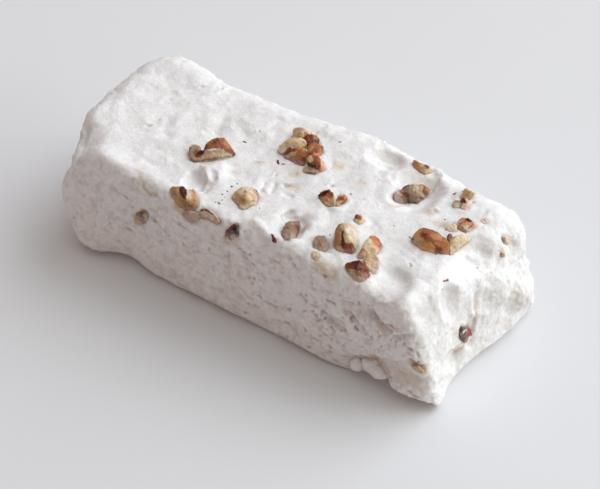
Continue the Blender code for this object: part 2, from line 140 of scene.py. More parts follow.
# Hollows and ridges of the whipped surface that show in the photograph: the pixels where each starts and
# ends, its reach, its height, and how square its edge is
CARVINGS = (
    ((395, 199), (403, 201), 1.4, -0.8, 4),
    ((429, 186), (437, 175), 1.2, -1.0, 4),
    ((438, 170), (442, 181), 0.8, 0.6, 2),
    ((404, 207), (420, 206), 0.6, 0.2, 2),
    ((380, 199), (388, 208), 2.2, -0.6, 2),
    ((287, 216), (291, 213), 0.7, -0.8, 3),
    ((301, 222), (297, 238), 0.9, -0.5, 3),
    ((294, 216), (299, 217), 0.7, 0.7, 2),
    ((300, 214), (312, 226), 0.9, 0.4, 2),
    ((280, 244), (297, 243), 1.3, 0.6, 2),
    ((196, 177), (203, 179), 1.2, -0.6, 3),
    ((206, 168), (209, 177), 0.5, 0.5, 2),
    ((202, 166), (208, 176), 0.4, 0.4, 2),
    ((213, 171), (214, 178), 0.7, -0.5, 4),
    ((209, 180), (206, 189), 0.5, 0.5, 2),
    ((204, 181), (200, 190), 0.5, -0.5, 2),
    ((209, 184), (204, 192), 0.5, -0.4, 2),
    ((180, 182), (186, 174), 0.6, 0.4, 2),
    ((264, 183), (262, 190), 0.5, -0.4, 2),
    ((275, 184), (271, 192), 0.5, -0.4, 2),
    ((285, 194), (291, 196), 0.5, -0.4, 2),
    ((385, 156), (395, 160), 1.8, -0.7, 3),
    ((390, 168), (381, 175), 0.5, -0.4, 2),
    ((386, 167), (378, 172), 0.5, -0.3, 2),
    ((386, 268), (402, 280), 1.8, -0.4, 2),
    ((476, 251), (486, 255), 1.0, -0.5, 2),
    ((468, 260), (476, 264), 0.8, -0.4, 2),
    ((475, 296), (475, 320), 0.45, -0.35, 2),
    ((475, 320), (470, 334), 0.45, -0.4, 2),
    ((469, 344), (455, 352), 0.6, -0.4, 2),
    ((382, 362), (411, 362), 0.6, -0.5, 2),
    ((411, 362), (422, 368), 0.9, -0.8, 3),
    ((321, 310), (330, 322), 0.7, -0.7, 2),
    ((330, 322), (344, 331), 0.7, -0.7, 2),
    ((342, 302), (352, 304), 0.5, -0.8, 2),
    ((343, 311), (350, 315), 0.5, -0.9, 2),
    ((350, 315), (354, 321), 0.6, -1.3, 2),
    ((354, 321), (356, 329), 0.5, -1.0, 2),
    ((353, 312), (358, 320), 0.5, 0.35, 2),
    ((341, 326), (345, 330), 0.4, -0.5, 2),
    ((369, 312), (375, 317), 0.6, -1.2, 2),
    ((375, 317), (380, 323), 0.7, -1.6, 2),
    ((380, 323), (388, 331), 0.7, -1.4, 2),
    ((377, 312), (384, 320), 0.6, 0.4, 2),
    ((384, 320), (391, 328), 0.6, 0.35, 2),
    ((394, 338), (408, 336), 0.5, -0.8, 2),
    ((271, 253), (288, 258), 0.5, -0.4, 2),
    ((288, 258), (296, 270), 0.6, -0.5, 2),
    ((312, 268), (323, 277), 0.5, -0.5, 2),
    ((230, 266), (248, 270), 0.5, -0.4, 2),
    ((87, 131), (84, 140), 1.2, -0.8, 3),
    ((101, 120), (104, 152), 4.0, 0.7, 2),
    ((108, 160), (126, 172), 3.5, 0.5, 2),
    ((97, 164), (112, 174), 1.6, -0.6, 3),
    ((120, 182), (132, 186), 1.3, -0.5, 3),
    ((148, 208), (156, 213), 0.4, -0.5, 2),
    ((152, 218), (157, 224), 0.4, -0.5, 2),
    ((254, 221), (272, 238), 0.9, 0.6, 2),
    ((222, 121), (216, 131), 1.6, -0.5, 2),
)

# The fine relief of the candy: its waves, how far they drift, where it is calm, what lies over them, and
# the bias that sinks it as a whole. Waves and the like are layers, each with its size and its height, and
# a span is where a ramp starts and ends
WAVES = ((3.4, 0.3), (1.7, 0.15), (0.85, 0.06))
DRIFT_SIZE = 5.0
DRIFT_SHIFTS = (1.7, 5.2, 8.3)
DRIFT = 1.6
CALM_NOISE = (9.0, 4.4)
CALM_SPAN = (-0.25, 0.35)
CALM_SHARE = 0.55
SWIRL_NOISE = (4.4, 3.1)
SWIRL_MIDDLE = 0.3
SWIRL_HEIGHT = 0.35
SIDE_SHARE = 0.6
STREAK_NOISE = (np.array((3.2, 1.1, 1.0)), 7.7)
STREAK_HEIGHT = 0.1
CRUMBS = ((2.2, 0.22), (1.1, 0.18))
CRUMB_MIDDLE = 0.2
CRUMB_DRIFT = 0.45
FLUFF = ((1.1, 0.14), (0.55, 0.14))
SIDE_GRAIN = ((2.2, 0.22), (1.1, 0.2), (0.5, 0.14))
TORN_CALM = 0.4
BIAS = -0.1

# The greyer patches of the sides
MOTTLES = ((1.9, 0.8), (0.9, 0.9))
MOTTLE_SHIFT = 8.8
MOTTLE_FULL = 0.6
MOTTLE_SHARE = 0.22

# Spans in which a face counts more and more as the torn end, a side or a long side, by where it faces
TORN_FACING = (0.1, 0.6)
SIDE_FACING = (0.3, 0.8)
LONG_SIDE_FACING = (0.5, 0.9)

# How far apart the patterns lie that move points along X, Y and Z, and how noise is turned from the log
AXIS_SHIFT = 3.0
TWIST = np.array(Matrix.Rotation(0.7, 3, Vector((1, 2, 3))))

# Small torn pits: the facing, the way they run, the corners of where they start, and how many
PITTED = (
    ((0, -1, 0), (1, 0, -0.1), (-46, -60, 2), (42, -60, 23), 130),
    ((0, 1, 0), (1, 0, 0.1), (-46, 60, 2), (46, 60, 23), 150),
    ((0, -1, 0), (1, 0, -0.1), (16, -60, 2), (43, -60, 19), 90),
    ((-1, 0, 0), (0, 1, 0), (-90, -16, 2), (-90, 16, 24), 50),
    ((0, 0, 1), (1, 0.6, 0), (-42, -14, 60), (38, 14, 60), 24),
)

# A pit's size, tilt and bend, its ragged edge and raised lip, the patches where pits lie, and its shade
PIT_SEED = 5
PIT_LENGTH = (0.2, 0.65)
PIT_WIDTH = (0.16, 0.3)
PIT_DEPTH = (0.35, 0.9)
PIT_TILT = 48
PIT_BEND = 0.5
PIT_RAGGED = ((1.2, 0.35), (0.5, 0.15))
PIT_SHIFT = 1.5
PIT_LIMIT = 2.5
PIT_LIP = 0.35
PIT_LIP_PLACE = 1.8
PIT_PATCH = 7.0
PIT_PATCH_LEVEL = -0.05
PIT_SHADE = 0.28

# Torn nicks that the photograph shows on the near side: the pixels that each runs through
NICKS = (
    ((339, 296), (350, 300), (359, 304)), ((341, 307), (348, 314), (353, 323)),
    ((368, 306), (376, 314), (386, 325)), ((300, 294), (304, 300), (309, 305)), ((309, 304), (318, 308)),
    ((311, 313), (316, 318)), ((316, 321), (321, 321)), ((321, 322), (325, 327)), ((330, 326), (334, 332)),
    ((340, 326), (346, 331)), ((350, 330), (352, 335)), ((278, 322), (292, 325)), ((290, 328), (293, 332)),
    ((318, 271), (324, 277)), ((289, 261), (295, 271)), ((254, 317), (266, 322)), ((304, 328), (306, 332)),
    ((313, 330), (316, 333)), ((302, 335), (306, 337)), ((311, 336), (317, 340)), ((325, 335), (331, 340)),
    ((296, 336), (298, 339)), ((303, 345), (310, 347)), ((326, 343), (330, 348)), ((342, 343), (343, 347)),
    ((340, 355), (346, 358)), ((159, 226), (167, 234)), ((147, 214), (152, 218), (156, 223)),
    ((179, 225), (185, 230)), ((183, 245), (188, 249)), ((189, 247), (196, 252)), ((214, 243), (221, 248)),
    ((220, 250), (228, 256)), ((235, 247), (242, 251)), ((243, 252), (250, 256)), ((244, 257), (253, 265)),
    ((235, 276), (243, 279)), ((246, 278), (257, 279)), ((253, 270), (258, 274)), ((259, 272), (264, 279)),
    ((271, 259), (282, 266)), ((273, 268), (280, 274)), ((293, 266), (298, 270)),
    ((250, 291), (263, 300), (277, 310)), ((235, 313), (246, 319)), ((127, 229), (134, 234)),
    ((388, 326), (396, 330)), ((395, 337), (400, 340)), ((360, 330), (368, 335)), ((370, 338), (376, 343)),
    ((405, 345), (410, 350)), ((338, 314), (342, 318)), ((326, 300), (334, 305)), ((322, 290), (330, 293)),
    ((312, 283), (320, 287)),
)
NICK_REACH = 0.28
NICK_DEPTH = 0.65
NICK_SHADE = 0.5
NICK_SHIFT = 2.5
NICK_LIMIT = 4 * NICK_REACH
NICK_BREAK_NOISE = (1.1, 3.9)
NICK_BREAK_SPAN = (-0.3, 0.3)

# How the candy meets a nut: a narrow groove, and a low uneven collar round it
GROOVE_REACH = 0.35
GROOVE_DEPTH = 0.15
COLLAR_PLACE = 0.6
COLLAR_REACH = 0.7
COLLAR_HEIGHT = 0.2
COLLAR_NOISE = (1.6, 2.2)
COLLAR_LEVEL = 0.6
COLLAR_WAVE = 0.8
BED_LIMIT = 2 * COLLAR_PLACE

# Colours, as they show under plain white light
COLOURS = {
    "candy": (241, 239, 236),
    "pale": (232, 220, 202),
    "cream": (222, 202, 170),
    "pink": (222, 190, 168),
    "sand": (204, 178, 138),
    "beige": (194, 168, 142),
    "stone": (198, 186, 168),
    "mauve": (186, 166, 160),
    "grey": (164, 144, 126),
    "taupe": (156, 124, 104),
    "tan": (194, 146, 96),
    "gold": (214, 162, 102),
    "ochre": (178, 130, 68),
    "orange": (212, 146, 102),
    "salmon": (184, 120, 80),
    "rose": (160, 88, 58),
    "red": (188, 98, 54),
    "brown": (156, 92, 58),
    "rust": (140, 66, 32),
    "umber": (116, 72, 46),
    "maroon": (98, 30, 18),
    "dark": (84, 50, 38),
    "plum": (80, 38, 36),
    "black": (44, 22, 16),
}

# The colours of skin, and how glossy each is
SKINS = {
    "salmon": 0.4, "rose": 0.4, "red": 0.4, "brown": 0.4, "rust": 0.5, "umber": 0.5, "maroon": 0.7,
    "dark": 0.7, "plum": 0.8, "black": 1.0,
}

# A chopped pecan as the photograph shows it: how much candy films it; its chunks, each as corners with a
# pixel and a height over the candy; its patches of colour, at a pixel or between two; and its thin lines,
# each with a reach and the pixels that it runs through
Nut = namedtuple("Nut", "film chunks patches lines")
# Some patches and lines below are painted highlights and painted shade, each marked where it stands
NUTS = {
    "pecan_01": Nut(0.15, (
        ((203, 152, 1.8), (209, 149.5, 2.2), (217, 149, 2.4), (223, 150.5, 2.2), (229, 153.5, 1.0),
         (206, 142.5, 2.6), (211, 139, 3.2), (217, 137.2, 3.4), (224, 137.4, 3.2), (227.5, 141, 2.4),
         (229, 147.5, 1.2), (235.8, 153.5, 0.5), (232, 156.5, 0), (225, 157.6, 0), (217, 158.8, 0),
         (208, 160.8, 0), (200, 162, 0)),
        ((192, 144, 1.6), (196, 143.5, 1.8), (201, 146.5, 2.0), (203, 152, 1.8), (189, 147.5, 0.9),
         (188.8, 153, 0.5), (190.5, 159, 0.2), (194, 162.3, 0), (200, 162, 0), (203, 158, 0.8)),
    ), (
        # The stone patch first on the next line is a painted highlight on the left lobe
        ("stone", (192, 146), (194, 146)), ("beige", (191, 150), (192, 156)),
        ("beige", (197, 147), (200, 149)), ("beige", (194, 158), (200, 159)),
        ("taupe", (196, 151), (196, 153)), ("pink", (204, 156), (211, 155)),
        ("sand", (205, 159), (213, 157)), ("cream", (214, 154), (224, 154)),
        ("pale", (225, 155), (230, 155)), ("maroon", (198, 153), (202, 152)),
        ("rust", (197, 156), (198, 157)), ("umber", (203, 149), (207, 146)),
        ("salmon", (208, 143), (211, 141)), ("brown", (208, 147), (213, 146)),
        ("rust", (212, 143), (214, 142)), ("umber", (216, 142), (219, 141)),
        ("salmon", (220, 139), (225, 143)), ("ochre", (226, 140), (227, 146)),
        ("brown", (215, 147), (221, 147)), ("rust", (223, 147), (230, 151)),
        ("umber", (232, 153), (235, 154)), ("mauve", (206, 152), (213, 151)),
        ("stone", (214, 150), (222, 151)),
    ), (
        # The umber line on the next line and the taupe line after it are painted shade along the nut's lower
        # edge
        ("umber", 0.3, (191, 159), (194, 161.5), (200, 161), (208, 159.5), (217, 158)),
        ("taupe", 0.2, (217, 158), (229, 156)), ("dark", 0.25, (189.5, 148), (189.5, 156)),
        ("umber", 0.2, (204, 145), (210, 139.5), (216, 138), (225, 138)),
        # The pale line first on the next line is a painted highlight on the band above the flesh
        ("pale", 0.2, (209, 150), (216, 149.5)), ("red", 0.2, (230, 153), (233, 154)),
        ("maroon", 0.25, (203, 151), (206, 148)),
    )),
    "pecan_02": Nut(0.5, (
        ((292.3, 131, 1.0), (294, 127.3, 2.0), (299, 126.3, 2.4), (304, 127.8, 2.2), (310, 130.5, 1.4),
         (314.5, 134, 0.8), (311, 136, 0.8), (305, 136.5, 1.0), (301, 138, 1.0), (293, 137.2, 0.4)),
    ), (
        ("cream", (294, 129), (296, 134)), ("pink", (299, 129), (303, 133)), ("sand", (297, 135), (302, 136)),
        ("pale", (306, 130), (312, 132)), ("orange", (305, 135), (310, 135)),
    ), ()),
    "pecan_03": Nut(0.3, (
        ((278.6, 146, 0.8), (283, 142.8, 1.6), (288, 138.3, 2.4), (294, 136.6, 2.8), (301, 137.6, 2.8),
         (306, 139.8, 2.4), (306.8, 144, 2.4), (300, 149, 2.4), (291, 149, 1.8), (284, 153, 0.8),
         (278.6, 151.5, 0.3)),
        ((283, 156, 0.3), (289, 150, 1.6), (296, 148, 2.3), (303, 146.5, 2.8), (308, 149, 2.6),
         (309, 153, 2.0), (307, 159, 1.0), (305, 163.5, 0.5), (302, 165, 0.2), (298, 162.4, 0.2),
         (291, 160, 0.2), (285, 158, 0.1)),
    ), (
        ("pale", (281, 146), (282, 151)), ("cream", (286, 144), (294, 140)),
        ("cream", (297, 139), (304, 140)), ("sand", (296, 144), (301, 145)),
        # The pink patch second on the next line is a painted highlight
        ("beige", (303, 142), (305, 144)), ("pink", (290, 146), (294, 146)),
        ("sand", (288, 156), (296, 153)), ("ochre", (297, 155), (300, 151)),
        ("gold", (300, 149), (306, 146)), ("sand", (304, 150), (308, 149)),
        ("salmon", (291, 158), (298, 158)), ("salmon", (300, 158), (306, 155)),
        ("rust", (303, 157), (305, 158)), ("rust", (301, 162), (304, 163)),
        ("umber", (307, 156), (308, 155)), ("rust", (287, 153), (293, 150)),
        ("rose", (284, 155), (286, 155)),
    ), (("umber", 0.25, (288, 149), (290, 148)), ("umber", 0.2, (285, 158), (291, 159), (297, 161)))),
    "pecan_04": Nut(0.1, (
        ((306.5, 147.5, 2.0), (310, 143.3, 2.6), (315, 142.5, 2.8), (320, 144, 2.2), (324, 146.8, 1.0),
         (322.8, 150.8, 0.5), (319, 155, 0.4), (314, 155, 1.0), (309, 151.5, 1.8)),
        ((303.5, 136.5, 1.4), (307, 133.8, 2.2), (312, 134.2, 2.4), (317, 135.6, 1.8), (319.8, 139, 1.0),
         (318.8, 143.8, 0.8), (314, 144.8, 1.6), (308, 146, 1.6), (306, 141, 1.6)),
    ), (
        ("rust", (305, 137), (307, 138)), ("brown", (308, 138), (309, 139)),
        ("rust", (308, 135), (312, 136)), ("umber", (311, 138), (312, 140)),
        ("ochre", (314, 137), (317, 137)), ("maroon", (312, 142), (318, 142)),
        ("umber", (307, 143), (308, 144)), ("tan", (308, 149), (311, 147)),
        ("salmon", (311, 145), (314, 144)), ("rose", (315, 145), (318, 149)),
        ("red", (319, 147), (321, 148)), ("umber", (323, 147), (323, 148)),
        ("rust", (314, 152), (317, 151)), ("salmon", (319, 151), (321, 150)),
        ("orange", (314, 154), (318, 155)),
    ), (("maroon", 0.2, (309, 144), (314, 142), (319, 143.5)),)),
    "pecan_05": Nut(0.05, (
        ((306.6, 159, 1.6), (309.5, 154.3, 2.4), (313, 154.8, 2.4), (318, 155.8, 2.2), (321, 158.8, 1.8),
         (322, 163, 1.4), (321, 169, 0.6), (317, 172, 0.4), (311, 169, 0.8), (307, 165.5, 1.0)),
        ((302.4, 169, 0.3), (305, 166, 0.8), (312, 168, 0.8), (319, 170.5, 0.5), (318, 173.5, 0.1),
         (314, 174.3, 0.1), (308, 173, 0.1), (303, 171.6, 0.1)),
        ((320, 158.8, 1.0), (323, 162, 1.0), (326, 166, 0.4), (325.2, 169.2, 0.2), (322, 171.3, 0.2),
         (319.5, 169, 0.6), (320, 164, 1.2)),
    ), (
        ("cream", (310, 156), (311, 159)), ("sand", (309, 161), (312, 160)),
        ("brown", (314, 157), (315, 161)), ("salmon", (317, 159), (318, 162)),
        ("maroon", (308, 163), (312, 163)), ("black", (310, 165), (314, 166)),
        ("umber", (314, 168), (316, 169)), ("rust", (317, 164), (319, 168)),
        ("pink", (322, 164), (324, 167)), ("orange", (320, 169), (322, 169)),
        ("beige", (304, 168), (307, 167)), ("sand", (307, 170), (311, 171)),
        ("pink", (313, 171), (316, 171)), ("rust", (314, 163), (316, 164)),
    ), (
        ("dark", 0.22, (303, 171), (308, 172.5), (314, 173.5), (319, 172)),
        ("plum", 0.2, (320, 158.5), (324, 163)), ("maroon", 0.3, (318, 169), (319, 170)),
    )),
    "pecan_06": Nut(0.2, (
        ((169.3, 189, 0.4), (172, 186.3, 1.2), (178, 185.8, 1.8), (184, 186.5, 2.0), (187, 190, 1.8),
         (187, 199, 1.4), (186, 206, 0.8), (180, 206.8, 0.2), (175, 201.5, 0.2), (170.3, 194.5, 0.1)),
        ((186.5, 189.3, 1.5), (193.5, 189, 1.2), (196, 193, 0.8), (197.4, 200, 0.6), (197.2, 206, 0.3),
         (195, 211, 0.1), (191, 213, 0.1), (187, 211.5, 0.1), (184, 207, 0.5), (186, 198, 1.3)),
    ), (
        ("tan", (172, 189), (176, 189)), ("ochre", (173, 192), (176, 195)), ("tan", (176, 197), (180, 197)),
        ("ochre", (177, 202), (184, 203)), ("cream", (189, 192), (190, 197)),
        ("sand", (188, 200), (191, 202)), ("tan", (194, 192), (195, 201)),
        ("brown", (187, 206), (193, 208)), ("tan", (194, 204), (195, 208)),
        ("ochre", (189, 211), (193, 211)), ("plum", (181, 189), (183, 192)),
        ("maroon", (183, 188), (184, 195)), ("sand", (177, 188), (178, 193)),
    ), (
        ("black", 0.3, (183.5, 187.5), (185.5, 189), (185.5, 193)), ("dark", 0.25, (184, 194), (185, 198.5)),
    )),
    "pecan_07": Nut(0.25, (
        ((199.3, 209.3, 0.7), (203, 208.2, 1.1), (207, 209, 1.3), (213, 213.2, 1.1), (217, 217.3, 0.7),
         (219.7, 222.3, 0.2), (217, 224.3, 0.1), (212, 222.3, 0.1), (206, 220.3, 0.1), (201, 218, 0.2)),
    ), (
        ("cream", (202, 213), (205, 215)), ("pale", (208, 215), (213, 218)), ("dark", (200, 209), (201, 210)),
        ("beige", (216, 218), (217, 222)), ("sand", (203, 216), (207, 217)),
    ), (
        ("dark", 0.3, (205, 209.5), (209, 211.5), (212.5, 213.8)),
        ("umber", 0.2, (202, 218), (207, 219), (214, 222.5)),
    )),
    "pecan_08": Nut(0.3, (
        ((230.8, 196.5, 0.3), (234, 191.7, 0.9), (240, 187.7, 1.4), (246, 185.7, 1.6), (252, 187.2, 1.5),
         (257, 189.2, 1.1), (259.8, 196, 0.5), (258.7, 201.7, 0.2), (255, 205, 0.2), (249, 206, 0.3),
         (243, 206, 0.4), (236, 203, 0.1), (246, 195, 2.0)),
        ((238.5, 204, 0.6), (240, 208, 0.1), (244, 208.7, 0.1), (248.3, 206.8, 0.2), (246, 203.5, 0.7)),
    ), (
        ("pale", (245, 188), (251, 190)), ("cream", (241, 190), (244, 190)), ("sand", (233, 195), (239, 196)),
        ("tan", (236, 200), (243, 201)), ("tan", (241, 204), (245, 204)), ("cream", (247, 196), (251, 200)),
        ("pink", (254, 196), (256, 200)), ("beige", (255, 190), (257, 193)), ("sand", (242, 206), (246, 206)),
        ("pink", (243, 194), (245, 195)),
    ), (
        ("umber", 0.2, (256.5, 190), (258.5, 195), (259, 198.5), (257, 202)),
        ("umber", 0.2, (245, 191), (245, 192)), ("umber", 0.25, (253, 201), (254, 201)),
        ("brown", 0.25, (239, 204), (242, 205)),
    )),
    "pecan_09": Nut(0.05, (
        ((317.5, 195.3, 0.6), (320, 191.7, 1.4), (324, 189.2, 2.0), (329.5, 189, 2.2), (333, 192, 2.0),
         (334.7, 198, 1.4), (336, 203, 0.5), (335, 206.3, 0.1), (330, 206, 0.1), (324, 203.4, 0.1),
         (319.3, 198.8, 0.2)),
    ), (
        ("rust", (320, 194), (322, 192)), ("maroon", (323, 194), (328, 192)),
        ("brown", (324, 190), (329, 190)), ("brown", (330, 192), (332, 195)),
        ("salmon", (328, 196), (331, 198)), ("tan", (322, 200), (327, 201)),
        ("sand", (329, 203), (333, 204)), ("cream", (334, 199), (334, 202)),
        ("pink", (330, 199), (331, 200)), ("orange", (324, 198), (327, 198)),
    ), (
        ("black", 0.2, (320, 195), (325, 192.3), (329.3, 190.3)), ("maroon", 0.2, (321, 196.5), (326, 194.3)),
        ("black", 0.3, (318, 195), (319, 195)), ("ochre", 0.2, (333, 205.5), (336, 205.5)),
    )),
    "pecan_10": Nut(0.05, (
        ((335, 205.3, 0.2), (336, 200, 0.9), (338, 194.8, 1.5), (341, 193, 1.7), (345, 194, 1.4),
         (348, 196.5, 0.9), (347, 200, 0.3), (343.7, 203.8, 0.1), (339, 206.4, 0.1)),
    ), (
        ("cream", (338, 196), (341, 194)), ("brown", (337, 200), (339, 198)),
        ("rust", (341, 199), (343, 197)), ("tan", (345, 196), (346, 197)), ("tan", (339, 203), (341, 202)),
        ("cream", (336, 202), (337, 204)),
    ), (("black", 0.22, (340, 204.7), (343, 203), (346.3, 200)), ("ochre", 0.2, (336, 206), (340, 205)))),
    "pecan_11": Nut(0.0, (
        ((400, 190, 1.0), (404, 186, 2.0), (409, 184, 2.6), (415, 183.8, 2.8), (422, 183.5, 2.6),
         (426, 187, 2.0), (431.5, 190.2, 0.9), (426, 194, 0.6), (424, 199, 0.3), (417, 204, 0.2),
         (409, 203.3, 0.2), (407.5, 197, 0.8)),
        ((395, 193, 0.6), (399, 189, 1.0), (404, 193, 1.2), (408, 198, 0.8), (408, 203.2, 0.1),
         (400, 203.2, 0.1), (394.5, 200.5, 0.1)),
    ), (
        ("grey", (402, 189), (406, 190)), ("umber", (405, 193), (407, 195)),
        # The stone patch second on the next line is a painted highlight
        ("grey", (409, 187), (412, 188)), ("stone", (414, 187), (417, 188)),
        ("beige", (418, 187), (421, 188)), ("grey", (411, 192), (416, 194)),
        ("taupe", (410, 198), (413, 200)), ("taupe", (416, 198), (420, 199)),
        ("tan", (425, 188), (429, 190)), ("beige", (419, 192), (422, 193)),
        ("mauve", (396, 196), (400, 199)), ("taupe", (402, 197), (406, 200)),
        ("stone", (399, 193), (401, 194)), ("umber", (424, 192), (426, 192)),
    ), (
        ("umber", 0.22, (395, 191.5), (399, 188.5), (404, 187)),
        ("rust", 0.22, (400, 191.5), (404, 195), (408, 197.5)), ("umber", 0.25, (408, 195), (408.5, 202)),
        ("black", 0.3, (408.5, 202.3), (415, 203), (419, 201.5)), ("black", 0.25, (421, 198), (423.5, 199)),
        ("umber", 0.2, (422.5, 184.5), (424.5, 187), (424, 193)), ("umber", 0.15, (416, 197), (416.5, 198)),
        ("dark", 0.2, (404, 187), (408, 185)),
    )),
    "pecan_12": Nut(0.1, (
        ((412.8, 160, 0.8), (414.5, 156.6, 1.4), (419.5, 156.8, 1.8), (424, 161, 1.7), (429, 163, 1.4),
         (432, 167, 0.8), (434.5, 170.3, 0.1), (431, 172.6, 0.1), (426, 174, 0.1), (420, 171.5, 0.1),
         (414.3, 167.8, 0.1)),
    ), (
        ("cream", (415, 159), (419, 160)), ("cream", (420, 162), (423, 164)),
        ("tan", (414, 164), (417, 166)), ("orange", (417, 168), (421, 170)),
        ("sand", (424, 170), (428, 171)), ("plum", (426, 165), (427, 167)),
        ("cream", (430, 169), (433, 170)),
    ), (("plum", 0.25, (425, 163.7), (428, 164.5)),)),
    "pecan_13": Nut(0.28, (
        ((452.3, 202, 0.5), (455, 199.8, 0.9), (460, 199.8, 1.0), (461, 204, 0.6), (459.5, 208, 0.1),
         (454, 207.3, 0.1)),
        ((460.5, 200, 1.0), (462.5, 196.8, 1.4), (466, 197.3, 1.4), (469.2, 200.5, 0.9), (469.7, 205, 0.3),
         (466, 209.3, 0.1), (461, 208.8, 0.1)),
    ), (
        ("stone", (455, 203), (458, 203)), ("cream", (455, 206), (458, 206)),
        ("rust", (463, 199), (465, 201)), ("cream", (467, 200), (468, 203)),
        ("pink", (463, 206), (467, 206)), ("brown", (461, 198), (461, 199)),
    ), (
        ("dark", 0.25, (453, 200.5), (456.5, 200.8)), ("umber", 0.2, (458.5, 199.7), (460.5, 201)),
        ("black", 0.2, (462.3, 202.5), (460.3, 207.3)), ("maroon", 0.3, (463.5, 199.5), (464, 202)),
    )),
    "pecan_14": Nut(0.1, (
        ((410.5, 239, 0.3), (414, 233.3, 1.3), (419, 228.3, 2.2), (424, 227, 2.6), (433, 229.7, 2.8),
         (440, 233.5, 2.6), (446, 238, 2.2), (449, 243, 1.6), (449.8, 253.8, 0.1), (445, 253.8, 0.1),
         (437, 250.8, 0.2), (429, 251.6, 0.1), (421, 249.4, 0.1), (414, 243.8, 0.1), (432, 239, 2.8)),
    ), (
        ("sand", (417, 232), (420, 230)), ("gold", (414, 236), (418, 236)),
        ("salmon", (422, 231), (426, 230)), ("salmon", (427, 232), (434, 234)),
        ("salmon", (428, 238), (435, 239)), ("tan", (436, 235), (441, 237)),
        ("salmon", (440, 240), (445, 242)), ("salmon", (438, 244), (444, 246)),
        ("rust", (423, 234), (425, 236)), ("sand", (415, 239), (421, 241)),
        ("gold", (422, 245), (430, 247)), ("gold", (431, 244), (434, 246)),
        ("gold", (423, 249), (429, 250)), ("rust", (437, 248), (440, 249)),
        ("ochre", (447, 244), (448, 249)), ("salmon", (443, 251), (448, 253)),
    ), (
        ("rust", 0.2, (424, 236.5), (432, 241.5), (437, 248)),
        ("umber", 0.2, (424, 228), (433, 230.5), (441, 235)), ("dark", 0.25, (411, 239), (412, 239)),
    )),
    "pecan_15": Nut(0.3, (
        ((449, 242, 1.2), (452, 237.3, 1.8), (458, 234.3, 1.8), (465, 233.3, 1.4), (472, 237.8, 0.4),
         (470, 241.8, 0.1), (463, 247.3, 0.1), (456, 251.8, 0.1), (450.5, 255.8, 0.05), (449, 249, 0.6)),
        ((446.8, 236, 1.2), (449, 232.7, 1.6), (452, 233.2, 1.5), (453, 237, 1.1), (450, 239.5, 1.0),
         (447.3, 239, 1.0)),
    ), (
        ("dark", (448, 235), (449, 235)), ("taupe", (450, 235), (452, 237)), ("pale", (455, 236), (463, 236)),
        ("pale", (465, 237), (469, 238)), ("sand", (451, 241), (455, 242)), ("cream", (456, 240), (462, 241)),
        ("sand", (450, 246), (453, 248)), ("sand", (451, 252), (455, 250)), ("cream", (459, 245), (464, 243)),
    ), (("taupe", 0.15, (470, 240.5), (465, 244.5), (460, 248.5)), ("dark", 0.2, (447, 235), (448, 239)))),
    "pecan_16": Nut(0.22, (
        ((457.3, 227, 0.3), (458.5, 220, 0.9), (462, 216.7, 1.2), (468, 217.5, 1.3), (472, 220.2, 1.1),
         (475.8, 226, 0.3), (471, 229.3, 0.2), (466.5, 233, 0.05), (461, 230, 0.1), (466, 223, 1.4)),
    ), (
        ("orange", (460, 219), (464, 219)), ("pink", (460, 223), (463, 225)),
        ("orange", (464, 222), (467, 223)), ("black", (468, 220), (470, 221)),
        ("orange", (470, 223), (473, 225)), ("pale", (464, 227), (468, 229)),
        ("tan", (459, 228), (461, 228)),
    ), (
        ("umber", 0.2, (458, 227), (462, 222.5)), ("umber", 0.18, (462, 227), (464.5, 231), (468, 231)),
        ("umber", 0.2, (469, 228), (472, 225.5)), ("umber", 0.18, (466, 219), (465, 222)),
    )),
    "pecan_17": Nut(0.05, (
        ((333.3, 241, 1.0), (335, 230.7, 2.0), (338.5, 224.3, 2.8), (343, 222.4, 3.2), (349, 223, 3.0),
         (354, 226.8, 2.4), (357.8, 236, 1.4), (357.8, 245, 0.6), (354, 252.2, 0.1), (348, 252.6, 0.1),
         (340, 251.2, 0.1), (335, 247.8, 0.3), (346, 232, 3.2)),
    ), (
        ("tan", (336, 232), (336, 244)), ("tan", (339, 229), (340, 243)), ("beige", (337, 248), (341, 249)),
        ("cream", (343, 226), (346, 227)), ("pale", (347, 230), (352, 229)),
        ("pale", (351, 236), (354, 240)), ("cream", (345, 236), (347, 240)),
        ("pale", (356, 241), (356, 246)), ("maroon", (342, 234), (342, 240)),
        ("maroon", (342, 242), (343, 247)), ("rust", (345, 246), (350, 248)),
        ("rust", (351, 245), (353, 247)), ("brown", (346, 251), (352, 251)),
    ), (
        ("dark", 0.2, (335.5, 230), (338, 225.5), (340.5, 224)), ("mauve", 0.2, (349, 223.5), (354, 227.5)),
        ("pink", 0.15, (341, 232), (340.8, 240)),
    )),
    "pecan_18": Nut(0.2, (
        ((362.5, 246, 1.4), (366, 239.2, 2.0), (371, 235.5, 2.4), (375, 235, 2.4), (379.5, 238.2, 1.8),
         (383.3, 245, 0.5), (379, 250.3, 0.4), (375, 255, 0.2), (368, 254.5, 0.4), (364, 251, 1.0)),
        ((356.8, 257, 0.2), (359.3, 250.8, 0.9), (362.5, 244.8, 1.4), (366, 251, 0.9), (367, 254, 0.4),
         (362, 258.4, 0.1), (358.5, 258.9, 0.1)),
    ), (
        ("tan", (360, 254), (363, 249)), ("tan", (360, 257), (362, 256)), ("sand", (364, 252), (366, 253)),
        ("pale", (366, 242), (369, 240)), ("cream", (364, 247), (367, 248)),
        ("orange", (372, 238), (375, 236)), ("orange", (374, 241), (378, 244)),
        ("salmon", (379, 241), (382, 244)), ("cream", (370, 246), (375, 248)),
        ("pink", (373, 251), (376, 252)), ("cream", (369, 251), (371, 252)),
    ), (("red", 0.2, (379, 246), (382.5, 244.5)),)),
    "pecan_19": Nut(0.1, (
